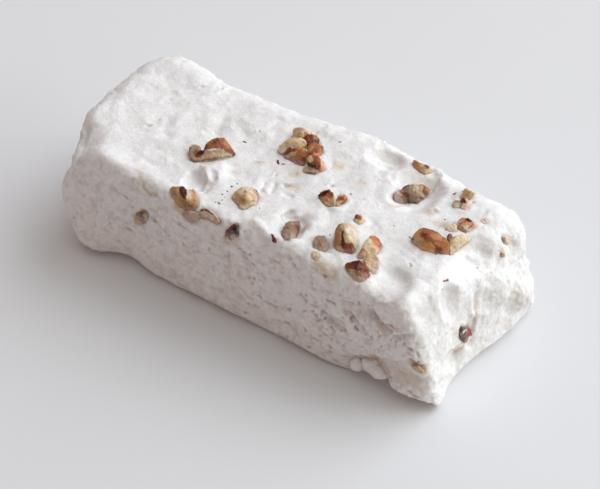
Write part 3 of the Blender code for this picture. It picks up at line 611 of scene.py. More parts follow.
        ((344.7, 264, 0.8), (349, 262.7, 1.4), (354, 260.2, 1.9), (359.5, 259.7, 2.0), (364, 263.8, 1.7),
         (368, 269, 1.0), (371.3, 275, 0.2), (368.5, 277.6, 0.1), (364.5, 280.4, 0.1), (359, 281.6, 0.1),
         (354, 279.4, 0.1), (349.3, 273.7, 0.2), (345.8, 268.7, 0.3), (357, 268, 1.9)),
    ), (
        ("rust", (346, 265), (352, 266)), ("brown", (348, 268), (353, 269)),
        ("maroon", (355, 262), (359, 263)), ("plum", (356, 265), (358, 269)),
        ("rust", (362, 265), (366, 270)), ("rust", (367, 272), (370, 275)),
        ("beige", (351, 273), (355, 275)), ("taupe", (357, 273), (361, 275)),
        ("beige", (356, 278), (362, 279)), ("brown", (362, 272), (365, 275)),
    ), (("black", 0.25, (357.5, 262), (360, 269)), ("pink", 0.15, (350, 269.7), (355, 270.5)))),
    "pecan_20": Nut(0.3, (
        ((363.3, 258, 1.0), (366.5, 254, 1.4), (371, 252.5, 1.5), (376, 254.2, 1.2), (378.7, 259, 0.8),
         (379.2, 267, 0.3), (377, 273, 0.1), (373, 274.5, 0.1), (369, 270, 0.4), (365, 264, 0.9)),
    ), (
        ("sand", (366, 257), (371, 256)), ("sand", (372, 259), (376, 260)), ("sand", (367, 262), (370, 264)),
        ("beige", (371, 266), (375, 268)), ("beige", (377, 266), (378, 270)),
    ), (("grey", 0.3, (376, 256), (377.5, 260)),)),
    "pecan_21": Nut(0.2, (
        ((312.8, 243, 0.3), (315, 236.8, 0.6), (319, 234.8, 0.8), (325, 235.3, 0.8), (329, 238.8, 0.5),
         (329.7, 246, 0.2), (326, 251.4, 0.05), (319, 251, 0.05), (314.3, 248.2, 0.1), (321, 243, 0.9)),
    ), (
        ("grey", (316, 240), (322, 239)), ("taupe", (316, 245), (321, 247)),
        ("taupe", (324, 241), (327, 244)), ("taupe", (325, 248), (327, 248)),
        ("stone", (328, 239), (329, 241)),
    ), ()),
    "pecan_22": Nut(0.1, (
        ((280.8, 234, 0.3), (282.3, 228.5, 0.9), (286, 222.2, 1.4), (291, 220.2, 1.7), (300, 220.7, 1.3),
         (300.7, 226, 0.9), (298.7, 233, 0.4), (296, 238.4, 0.2), (290, 240.4, 0.1), (284.5, 240.7, 0.1),
         (290, 229, 1.9)),
    ), (
        ("grey", (287, 224), (292, 223)), ("taupe", (295, 223), (298, 223)),
        ("taupe", (290, 227), (294, 230)), ("grey", (284, 228), (286, 226)),
        ("grey", (286, 231), (290, 234)), ("grey", (289, 236), (294, 236)),
        ("umber", (297, 226), (298, 228)), ("taupe", (282, 234), (283, 236)),
    ), (
        ("umber", 0.28, (298.5, 225), (298.5, 231), (296, 237)), ("umber", 0.15, (285, 229), (288, 227)),
        ("umber", 0.28, (281.5, 234.5), (284, 238), (288, 239.7), (294, 239)),
        ("umber", 0.18, (281.5, 233), (285, 228.5)),
    )),
    "pecan_23": Nut(0.1, (
        ((228.7, 227.5, 0.9), (233.5, 223.5, 1.3), (236, 224.8, 1.1), (236.3, 231, 0.7), (238, 236.7, 0.1),
         (231, 241, 0.1), (223.5, 238.5, 0.1), (225.3, 231.5, 0.5)),
    ), (
        ("umber", (231, 226), (234, 225)), ("maroon", (229, 232), (233, 231)),
        ("rust", (226, 235), (229, 235)), ("black", (235, 228), (235, 233)),
        ("stone", (232, 238), (235, 237)), ("beige", (225, 239), (228, 239)),
    ), (("dark", 0.2, (229, 240), (231, 240)), ("dark", 0.2, (236, 236), (237.5, 236.5)))),
    "pecan_24": Nut(0.1, (
        ((460.5, 331, 0.6), (463, 327.5, 1.0), (468, 327, 1.1), (471.5, 330, 0.9), (472, 336, 0.6),
         (469, 342, 0.3), (464, 343.5, 0.2), (460.5, 338, 0.4)),
    ), (
        # The two candy patches, at the end of the next line and of the third line, are painted highlights:
        # white glints on the skin
        ("black", (461.5, 331)), ("black", (465, 327.5)), ("candy", (464.6, 331)),
        ("rust", (468.5, 331), (470, 335)), ("umber", (463.5, 335.5)), ("rust", (467, 337)),
        ("black", (462, 340)), ("maroon", (465, 342)), ("candy", (469.6, 339)),
    ), (("black", 0.2, (461.5, 334), (461.5, 330), (464, 328), (467, 328.5)),)),
}

# Smaller bits of pecan, given the same way
BITS = (
    Nut(0.3, (
        ((181.3, 214, 0.3), (184, 210.3, 0.5), (190, 211.3, 0.6), (197, 214, 0.6), (200.7, 218, 0.2),
         (197, 221.3, 0.05), (192, 223.7, 0.05), (185, 220.3, 0.05)),
    ), (
        ("taupe", (183, 213), (187, 214)), ("taupe", (185, 217), (190, 218)),
        ("beige", (192, 215), (197, 217)),
    ), (
        ("dark", 0.15, (181.5, 214), (182, 216)), ("dark", 0.2, (198.5, 220), (200, 218.5)),
        ("umber", 0.15, (192, 221.5), (194, 223.5)),
    )),
    Nut(0.1, (
        ((354.3, 216, 0.7), (357, 213.6, 1.2), (361, 214.3, 1.2), (364, 217.5, 0.8), (363, 222.2, 0.1),
         (359, 224.6, 0.05), (355, 222.2, 0.1)),
    ), (
        ("rust", (356, 216), (358, 215)), ("brown", (358, 218), (359, 218)), ("tan", (360, 215), (361, 216)),
        ("cream", (357, 221), (361, 222)), ("pale", (362, 219), (362, 221)),
    ), (("maroon", 0.2, (355, 215.5), (357, 214.5)),)),
    Nut(0.25, (
        ((311.3, 253, 0.3), (314, 250.3, 0.5), (318, 251.8, 0.4), (318.7, 256, 0.1), (316, 260.7, 0.05),
         (312, 258.8, 0.05)),
    ), (("sand", (313, 255), (316, 254)), ("tan", (315, 257), (316, 258))), ()),
    Nut(0.1, (
        ((464.8, 188, 1.5), (468, 186.6, 1.8), (472, 187.8, 1.8), (475.7, 191, 1.3), (474.5, 193.3, 0.9),
         (470, 192.2, 1.0)),
    ), (
        ("salmon", (467, 188), (469, 188)), ("sand", (469, 190), (470, 190)),
        ("salmon", (472, 190), (474, 191)),
    ), ()),
    Nut(0.35, (
        ((133.5, 219, 0.2), (136, 214.5, 0.6), (141, 212, 0.8), (146, 214, 0.6), (147.5, 219, 0.3),
         (145, 224, 0.05), (140, 225.7, 0.05), (135, 223.8, 0.05)),
    ), (
        ("tan", (135, 220), (138, 223)), ("taupe", (137, 216), (139, 215)), ("umber", (141, 214), (143, 222)),
        ("beige", (146, 216), (146, 220)),
    ), ()),
    Nut(0.4, (
        ((445.3, 228, 0.2), (449, 224.3, 0.6), (454, 223.3, 0.7), (457.7, 226, 0.4), (456, 230.8, 0.05),
         (450, 231.7, 0.05)),
    ), (("cream", (449, 228), (451, 227)), ("sand", (452, 228), (454, 227)), ("pale", (456, 226))), ()),
    Nut(0.4, (
        ((480.5, 220, 0.3), (483, 217.8, 0.5), (487, 219, 0.4), (488, 222, 0.1), (484, 224.5, 0.05)),
    ), (("cream", (483, 221), (486, 221)), ("tan", (484, 221))), ()),
    Nut(0.3, (
        ((503.5, 239, 0.3), (506, 236.3, 0.6), (510, 237, 0.6), (511.5, 241, 0.3), (508, 245, 0.05),
         (504, 244.3, 0.05)),
    ), (("grey", (505, 241), (505, 243)), ("pale", (507, 239), (508, 241)), ("cream", (508, 243))), ()),
    Nut(0.1, (
        ((501.3, 254, 0.4), (503, 252.8, 0.6), (505.5, 255, 0.4), (505, 257.5, 0.1), (502, 257.7, 0.1)),
    ), (("ochre", (502, 255), (503, 254)), ("sand", (504, 257))), ()),
    Nut(0.1, (
        ((411.5, 365.5, 0.3), (415, 363.7, 0.6), (419, 366, 0.6), (424, 372.5, 0.2), (421, 374, 0.1),
         (415, 369.5, 0.2)),
    ), (("brown", (413, 365), (416, 365)), ("sand", (417, 368), (422, 372)), ("sand", (414, 367))), ()),
)

# White lumps of candy under the near side's overhang: centre, half widths, and tilt about Y in degrees
PEBBLES = (
    ((27.4, -18.7, 3.5), (1.65, 1.4, 1.5), 0),
    ((31.6, -18.6, 4.8), (3.2, 1.75, 1.65), 11),
)
PEBBLE_STEPS = 5
PEBBLE_WAVES = ((2.4, 0.35), (1.1, 0.14), (0.5, 0.06))

# The pecans that the photograph hides, each with its plain colour
HIDDEN_NUTS = {
    "pecan_25": "brown",
    "pecan_26": "tan",
    "pecan_27": "brown",
    "pecan_28": "cream",
    "pecan_29": "brown",
    "pecan_30": "cream",
}

# The form of each nut: its grid, the sides where a hidden one broke, its unevenness, the steepest view of
# its heights, its roots in the candy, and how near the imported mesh's corners are joined
NUT_GRID = 0.15
NUT_CUTS = 7
NUT_CUT_SHARES = (0.82, 0.95)
NUT_WAVES = ((1.6, 0.1), (0.7, 0.1), (0.35, 0.07), (0.2, 0.03))
STEEPEST = 0.35
ROOT_DEPTH = 1.2
ROOT_SHARE = 0.8
WELD = 0.001

# How a nut's patches, lines and film of candy are painted, and the flesh of a hidden one
PATCH_SOFTNESS = 0.015
PATCH_SHARPNESS = 3
PAINT_DRIFT = ((1.0, 0.3), (0.4, 0.14))
PAINT_SHIFT = 5.5
LINE_STRENGTH = 0.85
LINE_NOISE = (0.7, 3.3)
LINE_WAVE = 0.5
LINE_SPAN = (0.4, 1.4)
WARMTH = np.array((0.98, 0.92, 0.84))
FILM_START = 0.05
FILM_END = 0.95
FILM_LEAST = 0.15
FILM_RAGGED = ((1.1, 0.35), (0.4, 0.15))
FILM_SHIFT = 2.5
FLESH_SIZE = 2.4
FLESH_SPAN = (-0.1, 0.3)
FLESH_EDGE = 0.25
FLESH_EDGE_SHARE = 0.6

# Bits on the sides that the photograph hides: skin and flesh colours, place, facing, length and width
HIDDEN_BITS = (
    ("brown", "tan", (-18, 60, 6), (0, 1, 0), 2.8, 1.9),
    ("rust", "cream", (8, 60, 21), (0, 1, 0), 2.6, 1.8),
    ("umber", "beige", (27, 60, 13), (0, 1, 0), 2.3, 1.5),
    ("brown", "cream", (-42, 60, 9), (0, 1, 0), 2.6, 1.7),
    ("rust", "tan", (-90, -2, 22), (-1, 0, 0), 2.6, 1.6),
    ("brown", "cream", (-90, 12, 8), (-1, 0, 0), 2.6, 1.8),
)

# Flecks of skin: colour, first and last pixel, and width
FLECKS = (
    ("rust", (242, 141), (246, 143), 0.7), ("maroon", (278, 161), (280, 164), 1.0),
    ("tan", (282, 164), (285, 164), 0.5), ("rust", (444, 281), (448, 280), 0.6),
    ("umber", (339, 142), (341, 142), 0.35), ("ochre", (357, 201), (361, 202), 0.45),
    ("umber", (444, 219), (446, 220), 0.35), ("umber", (409, 237), (411, 238), 0.45),
    ("umber", (435, 254), (437, 254), 0.35), ("rust", (477, 268), (478, 268), 0.35),
    ("brown", (442, 289), (443, 290), 0.35), ("brown", (259, 207), (260, 209), 0.35),
    ("umber", (236, 183), (239, 185), 0.4), ("umber", (231, 186), (232, 187), 0.56),
    ("umber", (227, 191), (228, 191), 0.48), ("umber", (222, 194), (223, 195), 0.48),
    ("brown", (218, 202), (220, 204), 0.64), ("brown", (215, 202), (216, 202), 0.4),
    ("rust", (224, 197), (225, 197), 0.32), ("brown", (454, 194), (457, 192), 0.6),
    ("umber", (462, 191), (464, 191), 0.4), ("plum", (470, 198), (471, 198), 0.3),
    ("dark", (515, 246), (520, 245), 0.35), ("umber", (452, 349), (456, 352), 0.3),
    ("umber", (378, 180), (379, 180), 0.25), ("umber", (238, 143), (238, 143), 0.2),
    ("umber", (482, 226), (483, 226), 0.25), ("rust", (436, 270), (437, 270), 0.25),
    ("maroon", (272.8, 235.5), (274.4, 240), 1.0), ("rust", (274.2, 239), (275.8, 245.5), 0.8),
)

# Black specks: pixel and width
SPECKS = (
    ((255, 173), 0.4), ((351, 194), 0.45), ((378, 206), 0.45), ((394, 226), 0.35), ((507, 214), 0.35),
    ((330, 235), 0.4), ((331, 169), 0.3), ((359, 167), 0.3), ((372, 182), 0.25), ((160, 120), 0.45),
    ((215, 200), 0.4), ((222, 200), 0.45), ((499, 251), 0.45), ((364, 199), 0.25), ((253, 163), 0.25),
    ((265, 165), 0.25), ((391, 214), 0.25), ((414, 222), 0.2), ((505, 215), 0.25), ((401, 251), 0.25),
    ((418, 256), 0.25), ((471, 275), 0.25), ((282, 247), 0.25), ((318, 260), 0.25),
)

# Flecks on the sides that the photograph hides: the facing, the corners of where they start, and how many
STREWN = (
    ((0, 1, 0), (-44, 60, 4), (44, 60, 24), 34),
    ((-1, 0, 0), (-90, -14, 4), (-90, 14, 24), 14),
)
STREWN_SEED = 30
STREWN_COLOURS = ("rust", "umber", "brown", "ochre", "black")
STREWN_LENGTH = (0.3, 0.9)
STREWN_WIDTH = 0.6

# The form of a chip, how deep bits and flecks sit in the candy, and the border of a bit's skin
CHIP_CUTS = 7
CHIP_CUT_SHARES = (0.45, 0.85)
CHIP_WAVE_SIZE = 0.25
CHIP_ROUGHNESS = 0.05
CHIP_THICKNESS = 0.75
BIT_SINK = 0.12
FLECK_SINK = 0.25
BIT_STEPS = 4
FLECK_STEPS = 2
TONE_SIZE = 0.8
TONE_WAVE = 0.5
TONE_SPAN = (0.0, 0.25)

# Stains of nuts that lie just under the surface, and rows of painted shade marked below: colour, first and
# last pixel, reach and strength
STAINS_AND_SHADE = (
    ("sand", (140, 171), (143, 185), 0.5, 0.55), ("sand", (143, 185), (150, 195), 0.5, 0.6),
    ("sand", (150, 195), (157, 195), 0.45, 0.5), ("stone", (147, 176), (154, 189), 1.1, 0.3),
    ("beige", (186, 216), (196, 220), 1.6, 0.4), ("beige", (215, 220), (222, 223), 0.8, 0.5),
    ("tan", (176, 206), (184, 212), 1.2, 0.3), ("tan", (257, 162), (262, 163), 0.6, 0.5),
    ("beige", (233, 172), (239, 172), 0.7, 0.25), ("cream", (336, 165), (340, 166), 1.2, 0.7),
    ("cream", (292, 173), (297, 174), 1.1, 0.6), ("cream", (291, 186), (296, 187), 1.2, 0.7),
    ("cream", (361, 182), (365, 183), 0.9, 0.5), ("sand", (428, 211), (431, 212), 1.2, 0.6),
    ("sand", (392, 205), (396, 206), 1.0, 0.45), ("sand", (437, 223), (441, 225), 1.1, 0.5),
    ("stone", (453, 179), (458, 181), 0.6, 0.4), ("tan", (446, 225), (456, 230), 1.0, 0.4),
    ("sand", (324, 264), (329, 272), 1.9, 0.6), ("beige", (316, 240), (326, 248), 1.6, 0.4),
    ("tan", (359, 255), (366, 260), 0.8, 0.3), ("stone", (513, 292), (528, 305), 2.2, 0.4),
    ("beige", (509, 239), (515, 244), 0.9, 0.4), ("stone", (480, 218), (492, 224), 1.2, 0.35),
    ("tan", (464, 345), (454, 353), 0.5, 0.5), ("sand", (476, 298), (475, 322), 0.5, 0.3),
    # The cream row at the end of the next line darkens the low lobe by the torn end: painted shade
    ("sand", (414, 365), (424, 371), 1.0, 0.45), ("cream", (395, 372), (418, 385), 1.8, 0.3),
    ("stone", (204, 168), (214, 180), 1.0, 0.15), ("beige", (283, 216), (287, 224), 0.6, 0.35),
    # The stone row at the end of the next line is painted shade in a dimple by the far edge
    ("tan", (282, 236), (288, 241), 0.5, 0.4), ("stone", (378, 156), (398, 160), 1.6, 0.3),
    ("beige", (222, 242), (236, 244), 1.0, 0.3), ("beige", (170, 240), (176, 243), 0.8, 0.15),
    ("tan", (134, 216), (140, 222), 0.8, 0.4), ("ochre", (411, 243), (416, 248), 0.5, 0.3),
    ("stone", (205, 122), (212, 128), 1.8, 0.25), ("beige", (188, 140), (190, 158), 0.8, 0.25),
    # The umber, dark and ochre rows from here darken the crease above the white lumps: partly painted shade,
    # partly an olive stain
    ("umber", (354, 357), (366, 357), 0.4, 0.35), ("umber", (366, 357), (376, 360), 0.45, 0.45),
    ("umber", (376, 360), (386, 373), 0.45, 0.45), ("umber", (386, 373), (392, 381), 0.4, 0.4),
    ("dark", (351, 361), (352, 365), 0.35, 0.6), ("ochre", (362, 356), (376, 358), 0.8, 0.4),
    # The tan row at the end of the next line and the sand row after it are painted shade in two deep hollows
    # of the near side
    ("ochre", (376, 358), (388, 372), 0.8, 0.4), ("tan", (378, 324), (384, 330), 0.7, 0.35),
    ("sand", (346, 314), (352, 322), 0.6, 0.2),
)
MARK_SHIFT = 6.1
MARK_SPAN = (0.3, 1.3)
MARK_LIMIT = 2
MARK_MARGIN = 1

# How far and how strongly a nut's oil tints the candy round it
OILY_REACH = 0.9
OILY_SHARE = 0.22

# The materials: noises in millimetres, each with the shares between which it varies the painted colour;
# bumps with their depths in millimetres; and the shader's own values
EVEN = (1, 1, 1)
WRINKLED = (2, 1, 1)
NOISE_SPAN = (0.3, 0.7)
CANDY_TINTS = ((4.0, EVEN, 0.93, 1.02), (1.1, EVEN, 0.92, 1.03), (0.5, EVEN, 0.94, 1.02))
CANDY_LUMP = 1.3
CANDY_LUMP_DEPTH = 0.11
CANDY_FLAW = 0.9
CANDY_FLAW_DETAIL = 4.0
CANDY_FLAW_SPAN = (0.34, 0.46)
CANDY_FLAW_DEPTH = 0.03
CANDY_GRAIN = 0.45
CANDY_GRAIN_DEPTH = 0.045
CANDY_SHADER = {
    "Roughness": 0.72,
    "Specular IOR Level": 0.3,
    "Subsurface Weight": 0.35,
    "Subsurface Radius": (1.0, 0.8, 0.65),
    "Subsurface Scale": 1.2 * MM,
}
NUT_TINTS = ((1.1, WRINKLED, 0.78, 1.12), (0.35, EVEN, 0.84, 1.08))
NUT_WRINKLE = 0.6
NUT_WRINKLE_DEPTH = 0.16
NUT_GRAIN = 0.22
NUT_GRAIN_DEPTH = 0.06
FLESH_ROUGHNESS = 0.52
SKIN_ROUGHNESS = 0.2
NUT_SHADER = {
    "Specular IOR Level": 0.35,
    "Subsurface Weight": 0.45,
    "Subsurface Radius": (1.0, 0.6, 0.35),
    "Subsurface Scale": 0.8 * MM,
}
FLOOR_COLOUR = (0.74, 0.74, 0.74, 1)
FLOOR_NOISE = 60
FLOOR_SHARES = (0.99, 1.01)
FLOOR_ROUGHNESS = 0.6

# The stage in metres: half the floor's width, the nearest that the camera sees, and the lights, each with
# its direction from the roll, its distance, width, power and colour
FLOOR_REACH = 3
NEAREST = 0.01
LAMPS = (
    ("window", (0.383, 0.663, 0.643), 2.0, 2.0, 38.2, (0.841, 0.91, 1.0)),
    ("low_window", (0.903, 0.259, 0.342), 1.2, 0.7, 4.3, (0.92, 1.0, 0.98)),
    ("ceiling", (0.087, 0, 0.996), 1.2, 1.2, 3.7, (0.654, 0.898, 1.0)),
)
WORLD_COLOUR = (1.0, 0.752, 0.663, 1)
WORLD_STRENGTH = 0.352


# Numbers, noise, colours and lines of sight

def unit(vectors):
    """Each vector at length one."""
    return vectors / np.maximum(np.linalg.norm(vectors, axis=1), TINY)[:, None]


def smooth(low, high, values):
    """0 below low, 1 above high, and an S-shaped ramp between them."""
    t = np.clip((values - low) / (high - low), 0.0, 1.0)
    return t * t * (3 - 2 * t)


def waves(points, size, shift=0.0):
    """Smooth noise at each point, from about -1 to 1, with features about one size wide."""
    return np.array([noise.noise(place) for place in (points / size + shift).tolist()])


def grain(points, size, shift=0.0):
    """The same noise, turned so that its lattice lies along none of the log's sides."""
    return waves(points @ TWIST, size, shift)


def layered(points, layers, shift=0.0):
    """The sum of layers of noise, each with its size and its height."""
    return sum(grain(points, size, shift + size) * height for size, height in layers)


def ragged(points, layers, shift):
    """The points drifted about by layers of noise, so that what is set by distance gets a ragged border."""
    drift = [layered(points, layers, shift + AXIS_SHIFT * axis) for axis in range(3)]
    return points + np.stack(drift, axis=1)


def cells(points, size, shift=0.0):
    """How far each point is from the nearest of many scattered seeds about one size apart."""
    places = (points @ TWIST / size + shift).tolist()
    return np.array([noise.voronoi(place)[0][0] for place in places])


def linear(name):
    """A named colour as linear light, by the sRGB curve."""
    shares = np.array(COLOURS[name]) / 255
    return np.where(shares > 0.04045, ((shares + 0.055) / 1.055) ** 2.4, shares / 12.92)


def coat(name, points):
    """A named colour for every point."""
    return np.tile(linear(name), (len(points), 1))


def blended(colours, name, shares):
    """Each colour moved towards a named one by its own share."""
    return colours + (linear(name) - colours) * shares[:, None]


def faded(span, reach, apart):
    """1 near by and 0 far off, with a ramp over a span given in reaches."""
    return 1 - smooth(span[0] * reach, span[1] * reach, apart)


def any_direction(draw):
    """A random direction."""
    return unit(np.array([[draw.gauss(0, 1) for _ in range(3)]]))[0]


def somewhere(draw, low, high):
    """A random place between two corners."""
    return Vector([draw.uniform(*span) for span in zip(low, high)])


def sight(pixel):
    """The direction in which the camera sees through a pixel."""
    across = (pixel[0] - IMAGE[0] / 2) / FOCAL
    down = (pixel[1] - IMAGE[1] / 2) / FOCAL
    return (RIGHT * across - UP * down - BACK).normalized()


def tree_of(points, faces):
    """A search tree of a surface, for casting and for nearest places."""
    return BVHTree.FromPolygons(points.tolist(), faces)


def seen_at(tree, pixel, about=AIM):
    """Where the camera sees a surface through a pixel, or its place nearest to that line by a point."""
    ray = sight(pixel)
    place, _, _, _ = tree.ray_cast(EYE, ray)
    if place is None:
        along = (Vector(about) - EYE).dot(ray)
        place, _, _, _ = tree.find_nearest(EYE + ray * along)
    return np.array(place)


def from_line(points, start, end):
    """How far each point is from the line between two places."""
    along = end - start
    share = np.clip((points - start) @ along / max(along @ along, TINY), 0, 1)
    return np.linalg.norm(points - start - share[:, None] * along, axis=1)


def from_path(points, places):
    """How far each point is from a path through some places, or from one place."""
    spans = list(zip(places, places[1:])) or [(places[0], places[0])]
    return np.min([from_line(points, start, end) for start, end in spans], axis=0)


def from_seen(points, tree, pixels, about=AIM):
    """How far each point is from the path on a surface that the camera sees through some pixels."""
    return from_path(points, [seen_at(tree, pixel, about) for pixel in pixels])


# Meshes

def vectors_of(rows, key):
    """The vectors that a mesh keeps in some rows, as an array."""
    flat = np.empty(len(rows) * 3, np.float32)
    rows.foreach_get(key, flat)
    return flat.reshape(-1, 3).astype(float)


def coordinates(mesh):
    """A mesh's vertices as an array."""
    return vectors_of(mesh.vertices, "co")


def normals_of(mesh):
    """A mesh's vertex normals as an array."""
    return vectors_of(mesh.vertex_normals, "vector")


def moved_to(mesh, points):
    """Puts a mesh's vertices at these points."""
    mesh.vertices.foreach_set("co", points.astype(np.float32).ravel())
    mesh.update()


def faces_of(mesh):
    """A mesh's faces as lists of vertex numbers."""
    return [list(face.vertices) for face in mesh.polygons]


def coloured(mesh, colours):
    """Stores a colour for each vertex, for the material to read."""
    values = np.ones((len(mesh.vertices), 4), np.float32)
    values[:, :3] = colours
    mesh.attributes.new("tint", "FLOAT_COLOR", "POINT").data.foreach_set("color", values.ravel())


def valued(mesh, name, numbers):
    """Stores a number for each vertex, for the material to read."""
    mesh.attributes.new(name, "FLOAT", "POINT").data.foreach_set("value", numbers.astype(np.float32))


def mesh_of(name, form):
    """A new mesh of a form, which is then let go."""
    mesh = bpy.data.meshes.new(name)
    form.to_mesh(mesh)
    form.free()
    return mesh


def added(name, data):
    """A new object in the scene."""
    made = bpy.data.objects.new(name, data)
    bpy.context.scene.collection.objects.link(made)
    return made


def modified(mesh, kind, **settings):
    """The mesh after a modifier with these settings."""
    helper = added("helper", mesh)
    modifier = helper.modifiers.new("modifier", kind)
    for key, value in settings.items():
        setattr(modifier, key, value)
    seen = helper.evaluated_get(bpy.context.evaluated_depsgraph_get())
    result = bpy.data.meshes.new_from_object(seen)
    bpy.data.objects.remove(helper)
    return result


def joined(name, parts):
    """One painted mesh of several parts, each its points, faces, colours and shares of skin."""
    starts = np.cumsum([0] + [len(part[0]) for part in parts]).tolist()
    faces = [[corner + start for corner in face] for start, part in zip(starts, parts) for face in part[1]]
    mesh = bpy.data.meshes.new(name)
    mesh.from_pydata(np.concatenate([part[0] for part in parts]).tolist(), [], faces)
    coloured(mesh, np.concatenate([part[2] for part in parts]))
    valued(mesh, "skin", np.concatenate([part[3] for part in parts]))
    return mesh


def piece_of(name, mesh, material):
    """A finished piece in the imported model's frame, riding on its one body."""
    moved_to(mesh, (coordinates(mesh) - MIDDLE) * MM)
    mesh.shade_smooth()
    mesh.materials.clear()
    mesh.materials.append(material)
    piece = added(name, mesh)
    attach(piece, "root")
    return piece


# The candy's form

def fine_block():
    """A mesh of a closed block about the origin, its sides cut into squares about one GRID wide."""
    block = bmesh.new()
    for axis in range(3):
        first, second = (other for other in range(3) if other != axis)
        for side in (-0.5, 0.5):
            place = Matrix.Diagonal((0, 0, 0, 1))
            place[first][0] = SIZE[first]
            place[second][1] = SIZE[second]
            place[axis][3] = SIZE[axis] * side
            bmesh.ops.create_grid(
                block,
                x_segments=round(SIZE[first] / GRID),
                y_segments=round(SIZE[second] / GRID),
                size=0.5,
                matrix=place,
            )
    bmesh.ops.remove_doubles(block, verts=block.verts[:], dist=GRID / 10)
    bmesh.ops.recalc_face_normals(block, faces=block.faces[:])
    return mesh_of("divinity_candy", block)


def rounded(points):
    """Points of a block's surface moved onto a log with soft top edges and tighter base edges."""
    half = SIZE / 2
    top = TOP_RADIUS + (NEAR_TOP_RADIUS - TOP_RADIUS) * smooth(0, half[1] / 2, -points[:, 1])
    radius = (BASE_RADIUS + (top - BASE_RADIUS) * smooth(-half[2], half[2], points[:, 2]))[:, None]
    core = np.clip(points, radius - half, half - radius)
    outward = unit(points - core)
    return core + outward * radius + (0, 0, half[2]), outward


def swelled(points):
    """The points pushed by each broad swell, least far from the swell's centre."""
    pushed = points.copy()
    for centre, reach, push in SWELLS:
        apart = np.linalg.norm(points - centre, axis=1) / reach
        pushed += np.exp(-apart * apart)[:, None] * push
    return pushed


def leaned(points):
    """The points moved back with the slope of the torn end."""
    nearness = 0.5 - points[:, 1] / SIZE[1]
    lean = FAR_LEAN + (NEAR_LEAN - FAR_LEAN) * nearness
    share = smooth(SIZE[0] / 2 - LEAN_REACH, SIZE[0] / 2, points[:, 0])
    back = lean * share * points[:, 2] / SIZE[2]
    return points - back[:, None] * (1, 0, 0)


def dented(points):
    """The points pushed by each crater, dent or lump, evenly inside it and fading at its rim."""
    pushed = points.copy()
    for centre, reach, push in DENTS:
        apart = np.linalg.norm((points - centre) / reach, axis=1)
        pushed += np.exp(-(apart**4))[:, None] * push
    return pushed


def roughened(points, outward):
    """The points moved out or in by the candy's unevenness and by the torn end's crags."""
    freedom = smooth(0, UNDERSIDE_FADE, points[:, 2])
    lump = waves(points, LUMP_SIZE) * LUMP_HEIGHT
    ridge = CRAG_MIDDLE - CRAG_SHARPNESS * np.abs(waves(points, CRAG_SIZE))
    crag = ridge * CRAG_HEIGHT * smooth(CRAG_START, CRAG_FULL, points[:, 0])
    edge = waves(points, *BASE_EDGE_NOISE) * BASE_EDGE_WAVE * (1 - freedom)
    return points + outward * ((lump + crag) * freedom)[:, None] + outward * edge[:, None] * (1, 1, 0)


def carved(points, normals, tree):
    """The points raised or sunk by the hollows and ridges that the photograph shows."""
    height = np.zeros(len(points))
    for start, end, reach, rise, edge in CARVINGS:
        apart = from_seen(points, tree, (start, end)) / reach
        height += rise * np.exp(-(apart**edge))
    return points + normals * height[:, None]


def candy_form():
    """The candy's mesh with its main form, its surface's search tree and the block's own directions."""
    mesh = fine_block()
    points, outward = rounded(coordinates(mesh))
    points = leaned(swelled(points))
    points = dented(roughened(points, outward))
    moved_to(mesh, points)
    faces = faces_of(mesh)
    points = carved(points, normals_of(mesh), tree_of(points, faces))
    moved_to(mesh, points)
    return mesh, tree_of(points, faces), outward


def torn_share(points, outward):
    """How much of each point lies on the torn end."""
    return smooth(CRAG_START, CRAG_FULL, points[:, 0]) * smooth(*TORN_FACING, outward[:, 0])


def sides_of(points, outward):
    """How much of each point lies on the two long sides and the smooth end."""
    turned = smooth(*SIDE_FACING, np.maximum(np.abs(outward[:, 1]), -outward[:, 0]))
    return (1 - torn_share(points, outward)) * turned


def relief(points, outward):
    """The height of the whipped candy's own fine relief at each point."""
    torn = torn_share(points, outward)
    side = smooth(*LONG_SIDE_FACING, np.abs(outward[:, 1])) * (1 - torn)
    rough = 1 - CALM_SHARE * smooth(*CALM_SPAN, grain(points, *CALM_NOISE))
    drift = np.stack([grain(points, DRIFT_SIZE, shift) for shift in DRIFT_SHIFTS], axis=1) * DRIFT
    drifted = points + drift
    height = layered(drifted, WAVES)
    swirl = SWIRL_MIDDLE - np.abs(grain(drifted, *SWIRL_NOISE))
    height = (height + SWIRL_HEIGHT * swirl * (1 - side)) * rough * (1 - (1 - SIDE_SHARE) * side)
    height *= 1 - TORN_CALM * torn
    height += STREAK_HEIGHT * side * waves(points, *STREAK_NOISE)
    crumbled = points + drift * CRUMB_DRIFT
    for size, rise in CRUMBS:
        height += rise * torn * (CRUMB_MIDDLE - cells(crumbled, size, size) ** 2)
    height += torn * layered(points, FLUFF)
    return height + sides_of(points, outward) * layered(points, SIDE_GRAIN) + BIAS


def indexed(points):
    """An index of points, for finding those near a place."""
    index = KDTree(len(points))
    for row, place in enumerate(points.tolist()):
        index.insert(place, row)
    index.balance()
    return index


